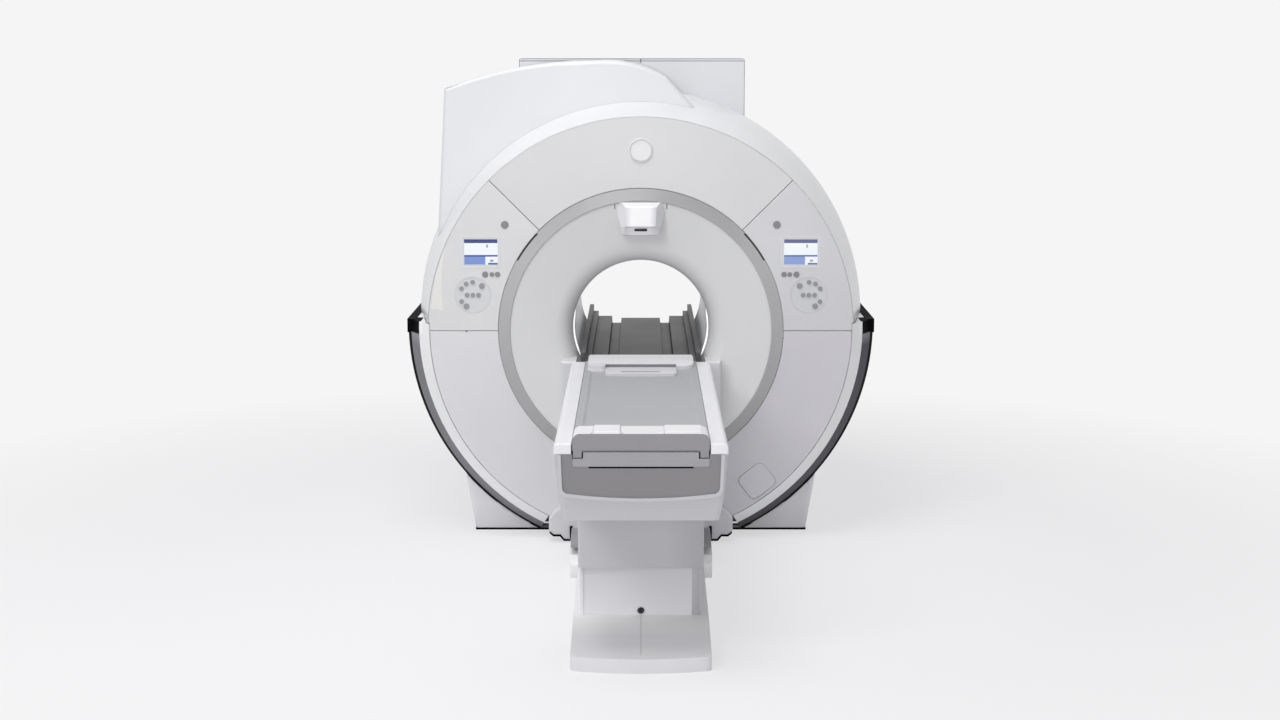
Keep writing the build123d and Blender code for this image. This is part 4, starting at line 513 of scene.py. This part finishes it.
# Materials by name: those of the CAD nodes, then those of the pieces in mesh code
LOOK = {
    "panel": moulded("panel_white", (215, 215, 216), 0.34, coat=0.15),
    # Left and right console copies of one white: painted light on the left, painted shade on the right
    "console_left": moulded("console_left_white", (219, 219, 220), 0.34, coat=0.15),
    "console_right": moulded("console_right_white", (212, 211, 214), 0.34, coat=0.15),
    # Lower panel copies of one white: painted light on the left, painted shade on the right
    "lower": moulded("lower_left_white", (222, 221, 224), 0.36, coat=0.15),
    "lower_right": moulded("lower_right_white", (212, 210, 215), 0.36, coat=0.15),
    "hatch": moulded("hatch_white", (214, 212, 217), 0.32, coat=0.2),
    "shoulder": moulded("shoulder_white", (232, 233, 236), 0.32, coat=0.25),
    "rear": moulded("rear_white", (232, 233, 236), 0.34, coat=0.2, masks=(groove_mask(REAR),)),
    "turret": moulded("turret_white", (223, 224, 226), 0.36, coat=0.1),
    "tower": moulded("tower_white", (226, 227, 230), 0.42, masks=(groove_mask(TOWER_REAR), lid_mask)),
    "bell": moulded("bell_white", (225, 225, 226), 0.36, masks=(bell_mask,)),
    # The bore liner glows faintly: painted light
    "liner": glowing("liner_white", (240, 241, 242), 0.07),
    "plinth": moulded("plinth_white", (238, 237, 240), 0.42, masks=(PLINTH_DIRT_AND_SHADE,)),
    "trim": moulded("trim_white", (248, 248, 249), 0.3, coat=0.3),
    "ring": moulded("ring_grey", (176, 175, 176), 0.5, coat=0.2, grain=700, masks=(ring_mask,)),
    "key": moulded("key_grey", (137, 136, 140), 0.45),
    "keypad": moulded("keypad_white", (214, 215, 218), 0.42, masks=(key_mask,)),
    "cap": moulded("cap_white", (226, 226, 228), 0.3, coat=0.2, masks=(cap_mask,)),
    "pod": moulded("pod_white", (246, 246, 247), 0.3, coat=0.2, masks=(pod_mask,)),
    "fairing": moulded("fairing_white", (218, 218, 221), 0.38, masks=(FAIRING_DIRT_AND_SHADE,)),
    "hull": moulded("hull_white", (226, 227, 229), 0.35, coat=0.1, masks=(apron_mask,)),
    "rail": moulded("rail_white", (240, 240, 243), 0.32, coat=0.15),
    "low_cover": moulded("low_cover_white", (216, 215, 218), 0.4, masks=(low_mask,)),
    "shroud": moulded("shroud_white", (204, 203, 206), 0.4, masks=(middle_mask,)),
    "base": moulded("base_white", (234, 233, 236), 0.4, masks=(FOOT_DIRT_AND_SHADE, base_mask)),
    "fascia": moulded("fascia_grey", (134, 132, 135), 0.42, peel=0.12, masks=(slot_mask,)),
    "latch": moulded("latch_grey", (162, 161, 165), 0.4),
    "cradle": moulded("cradle_grey", (172, 173, 176), 0.44, peel=0.1),
    "end_cap": moulded("end_cap_white", (236, 235, 238), 0.34, masks=(end_face_mask,)),
    "unit": moulded("unit_white", (222, 221, 225), 0.34, masks=(port_mask,)),
    "bridge": moulded("bridge_dark", (80, 79, 82), 0.46, peel=0.12),
    # Bumper copies of one rubber: the right one painted darker as shade
    "bumper": rubber("bumper_dark", (138, 138, 142), 0.6, 0.02, (bumper_mask,)),
    "bumper_right": rubber("bumper_right_dark", (98, 98, 102), 0.6, 0.02, (bumper_mask,)),
    "pedal": rubber("pedal_grey", (158, 158, 162), 0.6, 0.4),
    "steel": brushed("vessel_steel", (190, 190, 192), 0.34, 0.85, (6, 200, 6)),
    "painted": moulded("painted_steel", (120, 124, 130), 0.45, peel=0.15),
    "aluminium": brushed("frame_aluminium", (196, 197, 200), 0.32, 0.9, (6, 300, 6)),
    "epoxy": wound("coil_epoxy", (176, 150, 96), (130, 104, 58), 14),
    "former": wound("copper_former", (184, 112, 70), (208, 190, 160), 9),
    "screw": moulded("screw_grey", (120, 120, 126), 0.3, metal=0.6),
    "screw_dark": moulded("screw_dark", (74, 74, 80), 0.4),
    # Black rubber, also used for dark pieces that paint shade and shadow
    "black_seal_and_shade": rubber("seal_black", (16, 16, 18), 0.6, 0.03),
    "surround": moulded("screen_surround", (224, 225, 228), 0.34),
    # Pale ivory for the strip of painted light on the left console panel
    "lit_strip": moulded("lit_strip_ivory", (231, 230, 226), 0.4),
    "socket": brushed("socket_metal", (176, 176, 180), 0.28, 0.9, (200, 6, 200)),
    "pin": moulded("socket_insert", (44, 46, 50), 0.5),
    "pad": moulded("cap_pad_white", (238, 237, 240), 0.34),
    # The glowing white of the bore's strips is a painted highlight
    "edge": glowing("highlight_white", (250, 250, 251), 0.8),
}

# Material of each CAD node, screens apart
PAINT = {
    "top_panel": "panel",
    "left_console_panel": "console_left",
    "right_console_panel": "console_right",
    "lower_left_panel": "lower",
    "lower_right_panel": "lower_right",
    "service_hatch": "hatch",
    "bezel_ring": "ring",
    "front_bell": "bell",
    "rear_bell": "bell",
    "bore_liner": "liner",
    "light_pod": "pod",
    "round_cap": "cap",
    "front_shoulder": "shoulder",
    "left_body_shroud": "shoulder",
    "right_body_shroud": "shoulder",
    "rear_cover": "rear",
    "turret_cover": "turret",
    "service_tower": "tower",
    "base_plinth": "plinth",
    "left_trim": "trim",
    "right_trim": "trim",
    "left_bumper": "bumper",
    "right_bumper": "bumper_right",
    "left_keypad": "keypad",
    "right_keypad": "keypad",
    "bore_bridge": "bridge",
    "dock_fairing": "fairing",
    "pedestal_base": "base",
    "lower_shroud": "low_cover",
    "middle_shroud": "shroud",
    "table_cover": "hull",
    "end_fascia": "fascia",
    "latch_panel": "latch",
    "left_side_rail": "rail",
    "right_side_rail": "rail",
    "cradle": "cradle",
    "cradle_end_cap": "end_cap",
    "coil_port_unit": "unit",
    "left_pedal": "pedal",
    "right_pedal": "pedal",
    "magnet_cryostat": "steel",
    "gradient_coil": "epoxy",
    "rf_body_coil": "former",
    "magnet_feet": "painted",
    "cold_head": "steel",
    "front_frame": "aluminium",
    "table_frame": "aluminium",
    "lift_column": "aluminium",
    "lift_middle_stage": "aluminium",
    "lift_ram": "aluminium",
}
for side in ("left", "right"):
    for button in ("round_button", "row_button_1", "row_button_2", "row_button_3"):
        PAINT[side + "_" + button] = "key"

# Screens: half sizes of the glass and the width of its rim
GLASS_HALF_WIDE = 0.0885
GLASS_HALF_TALL = 0.0685
GLASS_RIM = 0.004

# Generic fields of colour, as left, right, top and bottom from the glass's upper left corner
SCREEN_FIELDS = (
    (0.004, 0.173, 0.004, 0.0235, (44, 52, 110)),
    (0.004, 0.173, 0.084, 0.0925, (60, 72, 140)),
    (0.004, 0.111, 0.0925, 0.133, (112, 138, 200)),
    (0.125, 0.173, 0.124, 0.133, (66, 74, 130)),
    (0.116, 0.125, 0.031, 0.047, (104, 176, 150)),
    (0.135, 0.152, 0.108, 0.118, (110, 140, 205)),
)


def screen_material(node_name):
    """Lit glass with generic fields of colour inside a pale rim."""
    g = Graph(node_name + "_glass")
    cx, cz = centre(node_name)
    left = cx - GLASS_HALF_WIDE
    top = cz + GLASS_HALF_TALL
    colour = lin(232, 238, 246)
    for u0, u1, v0, v1, rgb in SCREEN_FIELDS:
        colour = g.mix(g.box(left + u0, left + u1, top - v1, top - v0), colour, lin(*rgb))
    half_wide = GLASS_HALF_WIDE - GLASS_RIM
    half_tall = GLASS_HALF_TALL - GLASS_RIM
    inside = g.box(cx - half_wide, cx + half_wide, cz - half_tall, cz + half_tall)
    frame_rgb = g.mix(g.noise(300), lin(206, 208, 214), lin(214, 216, 221))
    colour = g.mix(inside, frame_rgb, colour)
    g.colour(colour)
    g.link(colour, g.bsdf.inputs["Emission Color"])
    g.bsdf.inputs["Emission Strength"].default_value = 0.12
    g.bsdf.inputs["Roughness"].default_value = 0.22
    g.bsdf.inputs["Coat Weight"].default_value = 0.4
    g.bsdf.inputs["Coat Roughness"].default_value = 0.06
    return g.mat


for name, node in nodes.items():
    mat = screen_material(name) if name.endswith("_screen") else LOOK[PAINT[name]]
    node.data.materials.clear()
    node.data.materials.append(mat)

# Pieces in mesh code, each seated on the CAD body that carries it


def finish_piece(name, bm, mat, body, bevel=0.0):
    """Turn a bmesh into an object that rides on a body."""
    bmesh.ops.recalc_face_normals(bm, faces=bm.faces)
    mesh = bpy.data.meshes.new(name)
    bm.to_mesh(mesh)
    bm.free()
    obj = bpy.data.objects.new(name, mesh)
    bpy.context.scene.collection.objects.link(obj)
    mesh.materials.append(mat)
    for poly in mesh.polygons:
        poly.use_smooth = True
    if bevel:
        mod = obj.modifiers.new("soft_edges", "BEVEL")
        mod.width = bevel
        mod.segments = 2
        mod.limit_method = "ANGLE"
        mod.angle_limit = math.radians(35)
    mesh.set_sharp_from_angle(angle=math.radians(38))
    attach(obj, body)


def add_prism(bm, loops, y0, y1):
    """Walls and ends between the same loops at two depths; the second loop is a hole."""
    rings = []
    for loop in loops:
        near = [bm.verts.new((x, y0, z)) for x, z in loop]
        far = [bm.verts.new((x, y1, z)) for x, z in loop]
        count = len(loop)
        for i in range(count):
            j = (i + 1) % count
            bm.faces.new((near[i], near[j], far[j], far[i]))
        rings.append((near, far))
    if len(rings) == 1:
        bm.faces.new(rings[0][0])
        bm.faces.new(list(reversed(rings[0][1])))
        return
    (near, far), (near_in, far_in) = rings
    count = len(near)
    for i in range(count):
        j = (i + 1) % count
        bm.faces.new((near[i], near_in[i], near_in[j], near[j]))
        bm.faces.new((far[i], far[j], far_in[j], far_in[i]))


def prism(name, loops, y0, y1, mat, body, bevel=0.0):
    """Piece with the same outline at two depths, and a hole where a second loop is given."""
    bm = bmesh.new()
    add_prism(bm, loops, y0, y1)
    finish_piece(name, bm, mat, body, bevel)


def rounded(cx, cz, width, height, radius):
    """Rounded rectangle as a loop of points."""
    steps = 6
    points = []
    corners = (
        (cx + width / 2 - radius, cz + height / 2 - radius, 0),
        (cx - width / 2 + radius, cz + height / 2 - radius, 90),
        (cx - width / 2 + radius, cz - height / 2 + radius, 180),
        (cx + width / 2 - radius, cz - height / 2 + radius, 270),
    )
    for x, z, start in corners:
        for i in range(steps + 1):
            a = math.radians(start + 90 * i / steps)
            points.append((x + radius * math.cos(a), z + radius * math.sin(a)))
    return points


def lathe(bm, profile, place, facing, steps, socket=None):
    """Turn a profile of radius and height about an axis. The socket is the index of a six-sided ring."""
    turn = Vector((0, 0, 1)).rotation_difference(Vector(facing)).to_matrix().to_4x4()
    move = Matrix.Translation(place) @ turn
    rings = []
    for index, (r, h) in enumerate(profile):
        if r == 0:
            rings.append([bm.verts.new(move @ Vector((0, 0, h)))])
            continue
        ring = []
        for i in range(steps):
            a = 2 * math.pi * i / steps
            size = r
            if socket is not None and index >= socket:
                size = r * math.cos(math.pi / 6) / math.cos(a % (math.pi / 3) - math.pi / 6)
            ring.append(bm.verts.new(move @ Vector((size * math.cos(a), size * math.sin(a), h))))
        rings.append(ring)
    for low, high in zip(rings, rings[1:]):
        for i in range(steps):
            j = (i + 1) % steps
            if len(high) == 1:
                bm.faces.new((low[i], low[j], high[0]))
            elif len(low) == 1:
                bm.faces.new((low[0], high[j], high[i]))
            else:
                bm.faces.new((low[i], low[j], high[j], high[i]))


def screws(name, places, facing, radius, mat, body):
    """Button heads with a six-sided socket."""
    r = radius
    profile = (
        (r, -0.2 * r),
        (r, 0.18 * r),
        (0.9 * r, 0.38 * r),
        (0.68 * r, 0.5 * r),
        (0.5 * r, 0.53 * r),
        (0.46 * r, 0.05 * r),
        (0, 0.02 * r),
    )
    bm = bmesh.new()
    for place in places:
        lathe(bm, profile, place, facing, 24, socket=4)
    finish_piece(name, bm, mat, body)


def on_ring(radius, degrees, y):
    """Point on a circle about the bore, counted from the right."""
    a = math.radians(degrees)
    return (radius * math.cos(a), y, BORE_Z + radius * math.sin(a))


# Sides with their sign along X, and directions that pieces face
SIDES = (("left", -1), ("right", 1))
FORWARD = (0, -1, 0)
BACKWARD = (0, 1, 0)
UP = (0, 0, 1)

# Screens: a thin raised surround on each
SURROUND_OUTSIDE = 0.007
SURROUND_INSIDE = 0.004
SURROUND_PROUD = 0.0018
SURROUND_SUNK = 0.0012
for side in ("left", "right"):
    low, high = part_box(side + "_screen")
    cx, cz = centre(side + "_screen")
    wide = high[0] - low[0]
    tall = high[2] - low[2]
    outer = rounded(cx, cz, wide + SURROUND_OUTSIDE, tall + SURROUND_OUTSIDE, 0.008)
    inner = rounded(cx, cz, wide - SURROUND_INSIDE, tall - SURROUND_INSIDE, 0.005)
    front = low[1] - SURROUND_PROUD
    back = low[1] + SURROUND_SUNK
    prism(side + "_screen_surround", [outer, inner], front, back, LOOK["surround"], "scanner", 0.0008)

# Small fasteners seen on the front: one on the left seam, one on each side of the ring
SEAM_SCREW = (-0.8885, FACE, top_of("lower_left_panel"))
RING_SCREW_X = (-0.7215, 0.7235)
RING_SCREW_Z = BORE_Z - 0.0355
RING_SCREW_PROUD = 0.0002
ring_places = [(x, FACE - RING_SCREW_PROUD, RING_SCREW_Z) for x in RING_SCREW_X]
screws("seam_screws", [SEAM_SCREW], FORWARD, 0.005, LOOK["screw"], "scanner")
screws("ring_screws", ring_places, FORWARD, 0.0045, LOOK["screw"], "scanner")

# Pale strip of painted light along the edge of the left console panel, as radius and angle: outer edge
# down, inner edge up
LIT_STRIP_OUTER = ((1.079, 24.5), (1.079, 21), (1.079, 18), (1.079, 15), (1.074, 10), (1.074, 6))
LIT_STRIP_INNER = ((1.01, 6), (1.036, 12), (1.06, 18), (1.075, 23))
LIT_STRIP_PROUD = 0.0006
LIT_STRIP_SUNK = 0.0004
outline = [(-x, z) for x, _, z in (on_ring(r, a, 0) for r, a in LIT_STRIP_OUTER + LIT_STRIP_INNER)]
prism("edge_lit_strip", [outline], FACE - LIT_STRIP_PROUD, FACE + LIT_STRIP_SUNK, LOOK["lit_strip"], "scanner")

# Black strip under the stepped foot of the fairing: its upper and lower edge, going outwards
FOOT_STRIP_TOP = ((0.3, 0.0158), (0.392, 0.0158), (0.4125, 0.0398), (0.447, 0.0398), (0.4695, 0.0585))
FOOT_STRIP_LOW = ((0.3, 0.006), (0.3965, 0.006), (0.4165, 0.0295), (0.4505, 0.0295), (0.47, 0.047))
FOOT_STRIP_DEPTH = (-0.066, -0.012)
front = FACE + FOOT_STRIP_DEPTH[0]
back = FACE + FOOT_STRIP_DEPTH[1]
for side, sign in SIDES:
    loop = [(sign * x, z) for x, z in FOOT_STRIP_TOP + FOOT_STRIP_LOW[::-1]]
    prism(side + "_foot_black_strip", [loop], front, back, LOOK["black_seal_and_shade"], "scanner", 0.001)

# Black band round the plinth, a painted shadow where it meets the floor, open above and below
FLOOR_SHADOW_HALF = 0.8715
FLOOR_SHADOW_TALL = 0.011
FLOOR_SHADOW_MIDDLE_Z = 0.0057
FLOOR_SHADOW_PROUD = 0.0015
low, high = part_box("base_plinth")
front = low[1] - FLOOR_SHADOW_PROUD
back = high[1] + FLOOR_SHADOW_PROUD
bm = bmesh.new()
size = Matrix.Diagonal((2 * FLOOR_SHADOW_HALF, back - front, FLOOR_SHADOW_TALL, 1.0))
bmesh.ops.create_cube(bm, size=1.0, matrix=size)
bmesh.ops.translate(bm, verts=bm.verts, vec=(0, (front + back) / 2, FLOOR_SHADOW_MIDDLE_Z))
bmesh.ops.delete(bm, geom=[f for f in bm.faces if abs(f.normal.z) > 0.9], context="FACES_ONLY")
finish_piece("plinth_floor_shadow", bm, LOOK["black_seal_and_shade"], "scanner")

# Black blocks on the front of the fairing
DOCK_BLOCK_X = 0.3575
DOCK_BLOCK_Z = 0.055
DOCK_BLOCK_WIDE = 0.016
DOCK_BLOCK_TALL = 0.066
DOCK_BLOCK_PROUD = 0.009
DOCK_BLOCK_SUNK = 0.002
front = front_of("dock_fairing") - DOCK_BLOCK_PROUD
back = front_of("dock_fairing") + DOCK_BLOCK_SUNK
for side, sign in SIDES:
    outline = rounded(sign * DOCK_BLOCK_X, DOCK_BLOCK_Z, DOCK_BLOCK_WIDE, DOCK_BLOCK_TALL, 0.004)
    prism(side + "_dock_black_block", [outline], front, back, LOOK["black_seal_and_shade"], "scanner", 0.0015)

# End cap: a raised pad on each side of its top, as middle and width, and small fasteners at the pads' ends
CAP_PADS = (("left", -0.137, 0.106), ("right", 0.1705, 0.149))
PAD_DOWN = 0.0015
PAD_TALL = 0.0105
PAD_START = 0.022
PAD_END = 0.008
CAP_SCREW_X = (-0.199, -0.075, 0.087)
CAP_SCREW_DOWN = 0.0035
CAP_SCREW_IN = 0.012
low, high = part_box("cradle_end_cap")
front = low[1] + PAD_START
back = high[1] - PAD_END
cap_places = [(x, low[1] + CAP_SCREW_IN, high[2] - CAP_SCREW_DOWN) for x in CAP_SCREW_X]
screws("cap_screws", cap_places, UP, 0.0035, LOOK["screw_dark"], "cradle")
for side, middle, width in CAP_PADS:
    loop = rounded(middle, high[2] - PAD_DOWN, width, PAD_TALL, 0.004)
    prism(side + "_cap_pad", [loop], front, back, LOOK["pad"], "cradle", 0.0025)

# Black lip in the long slot of the fascia, a dark piece that paints the shade inside the slot
LIP_TALL = 0.0066
LIP_PROUD = 0.0006
LIP_SUNK = 0.004
front = front_of("end_fascia") - LIP_PROUD
back = front_of("end_fascia") + LIP_SUNK
loop = rounded(0, SLOT_Z, 2 * SLOT_HALF, LIP_TALL, 0.003)
prism("slot_shade_lip", [loop], front, back, LOOK["black_seal_and_shade"], "table")

# Ring round the port on the low front cover, as radius and height over the cover
PORT_PLACE = (0, FACE - 1.684, 0.11)
PORT_PROFILE = ((0.0205, -0.001), (0.0205, 0.0012), (0.0185, 0.0022), (0.0158, 0.0022), (0.0148, 0.0))
bm = bmesh.new()
lathe(bm, PORT_PROFILE, PORT_PLACE, FORWARD, 48)
finish_piece("port_ring", bm, LOOK["surround"], "scanner")

# White strips of painted highlight where the bell meets the bore, on each side above the bridge
EDGE_R = 0.3502
EDGE_PROUD = 0.007
EDGE_HALF = 0.01
EDGE_DEPTH = 0.196
EDGE_STEPS = 40
EDGE_ROUND = 8
EDGE_TAPER = 8


def highlight_strip(name, start, stop):
    """Half-round bead of painted highlight round the bore between two angles, thinner over its last steps
    at each end.
    """
    bm = bmesh.new()
    rows = []
    for i in range(EDGE_STEPS + 1):
        a = math.radians(start + (stop - start) * i / EDGE_STEPS)
        taper = min(1.0, 0.35 + min(i, EDGE_STEPS - i) / EDGE_TAPER)
        row = []
        for k in range(EDGE_ROUND + 1):
            b = math.pi * k / EDGE_ROUND
            r = EDGE_R - EDGE_PROUD * taper * math.sin(b)
            y = FACE + EDGE_DEPTH + EDGE_HALF * math.cos(b)
            row.append(bm.verts.new((r * math.cos(a), y, BORE_Z + r * math.sin(a))))
        rows.append(row)
    for one, two in zip(rows, rows[1:]):
        for k in range(EDGE_ROUND):
            bm.faces.new((one[k], one[k + 1], two[k + 1], two[k]))
    bm.faces.new(rows[0])
    bm.faces.new(list(reversed(rows[-1])))
    finish_piece(name, bm, LOOK["edge"], "scanner")


highlight_strip("left_highlight_strip", 166, 206)
highlight_strip("right_highlight_strip", 14, -26)

# Rear connectors, two rows of four, and fasteners round their panel and the rear cover
PANEL_X = 0.82
PANEL_Z = BORE_Z - 0.33
PITCH_X = 0.07
PITCH_Z = 0.08
CORNER_X = 0.152
CORNER_Z = 0.092
REAR_SCREW_R = 1.05
SHELL_PROFILE = ((0.0158, -0.004), (0.0158, 0.006), (0.0148, 0.0075), (0.0128, 0.0075), (0.0122, 0.0015))
INSERT_PROFILE = ((0.0122, 0.0013), (0.0118, 0.0022), (0, 0.0022))
shells = bmesh.new()
inserts = bmesh.new()
for i in range(4):
    for k in range(2):
        place = (PANEL_X + (i - 1.5) * PITCH_X, REAR, PANEL_Z + (k - 0.5) * PITCH_Z)
        lathe(shells, SHELL_PROFILE, place, BACKWARD, 32)
        lathe(inserts, INSERT_PROFILE, place, BACKWARD, 24)
finish_piece("rear_sockets", shells, LOOK["socket"], "scanner")
finish_piece("rear_socket_inserts", inserts, LOOK["pin"], "scanner")
corners = [(PANEL_X + i * CORNER_X, REAR, PANEL_Z + k * CORNER_Z) for i in (-1, 1) for k in (-1, 1)]
ring = [on_ring(REAR_SCREW_R, a, REAR) for a in range(15, 375, 30) if not 210 < a < 330]
screws("rear_screws", corners + ring, BACKWARD, 0.006, LOOK["screw"], "scanner")

# Floor, light and camera
BACKGROUND = lin(245, 245, 246)

# Distance from the middle over which the floor turns into the plain background
FLOOR_FADE = (2.4, 5.0)


def floor_material():
    """Shaded floor that takes shadows near the machine and melts into the background further out."""
    g = Graph("studio_floor")
    g.colour(lin(244, 244, 246))
    g.bsdf.inputs["Roughness"].default_value = 0.55
    g.bsdf.inputs["Specular IOR Level"].default_value = 0.15
    glow = g.node("ShaderNodeEmission")
    glow.inputs["Color"].default_value = BACKGROUND
    far = g.span(g.distance(g.axis("X"), g.axis("Y")), *FLOOR_FADE, 0.62, 1.0)
    path = g.node("ShaderNodeLightPath")
    seen = g.math("ADD", path.outputs["Is Camera Ray"], path.outputs["Is Glossy Ray"])
    seen = g.math("MINIMUM", g.math("ADD", seen, path.outputs["Is Transmission Ray"]), 1.0)
    mix = g.node("ShaderNodeMixShader")
    g.link(g.math("MULTIPLY", far, seen), mix.inputs[0])
    g.link(g.bsdf.outputs[0], mix.inputs[1])
    g.link(glow.outputs[0], mix.inputs[2])
    g.link(mix.outputs[0], g.tree.nodes["Material Output"].inputs["Surface"])
    return g.mat


bpy.ops.mesh.primitive_plane_add(size=120, location=(0, 0, 0))
floor = bpy.context.object
floor.name = "studio_floor"
floor.data.materials.append(floor_material())


def studio_world():
    """Soft light from everywhere, and a plain background for camera and mirror rays."""
    world = bpy.data.worlds.new("studio")
    world.use_nodes = True
    tree = world.node_tree
    sky = tree.nodes["Background"]
    sky.inputs["Color"].default_value = (0.985, 0.99, 1.0, 1.0)
    sky.inputs["Strength"].default_value = 0.42
    plain = tree.nodes.new("ShaderNodeBackground")
    plain.inputs["Color"].default_value = BACKGROUND
    plain.inputs["Strength"].default_value = 1.0
    ray = tree.nodes.new("ShaderNodeLightPath")
    seen = tree.nodes.new("ShaderNodeMath")
    seen.operation = "MAXIMUM"
    tree.links.new(ray.outputs["Is Camera Ray"], seen.inputs[0])
    tree.links.new(ray.outputs["Is Glossy Ray"], seen.inputs[1])
    chosen = tree.nodes.new("ShaderNodeMixShader")
    tree.links.new(seen.outputs[0], chosen.inputs[0])
    tree.links.new(sky.outputs[0], chosen.inputs[1])
    tree.links.new(plain.outputs[0], chosen.inputs[2])
    tree.links.new(chosen.outputs[0], tree.nodes["World Output"].inputs["Surface"])
    return world


bpy.context.scene.world = studio_world()


def lamp(name, place, aim, size, power):
    """Round area light turned towards a point. The camera doesn't see it."""
    data = bpy.data.lights.new(name, "AREA")
    data.shape = "DISK"
    data.size = size
    data.energy = power
    obj = bpy.data.objects.new(name, data)
    obj.location = place
    obj.rotation_euler = (Vector(aim) - Vector(place)).to_track_quat("-Z", "Y").to_euler()
    obj.visible_camera = False
    bpy.context.scene.collection.objects.link(obj)


# Lamps: name, place, the point that each aims at, size and power
lamp("key", (-3.6, -5.0, 5.2), (0, 0, 1.0), 2.5, 104)
lamp("top", (-1.0, -1.8, 6.5), (0, 0, 0.8), 3.5, 160)
lamp("fill", (0.4, -7.2, 1.0), (0, -1.0, 0.6), 3.0, 52)

# Camera fitted to the photo: distance before the front face, height, and tilt down in degrees
CAMERA_AWAY = 9.8694
CAMERA_Z = 2.5077
CAMERA_TILT = 9.027
camera_data = bpy.data.cameras.new("camera")
camera_data.sensor_width = 36
camera_data.lens = 54.99
camera = bpy.data.objects.new("camera", camera_data)
camera.location = (-0.004, FACE - CAMERA_AWAY, CAMERA_Z)
camera.rotation_euler = (math.radians(90 - CAMERA_TILT), 0, 0)
bpy.context.scene.collection.objects.link(camera)
bpy.context.scene.camera = camera
bpy.context.scene.view_settings.view_transform = "Standard"
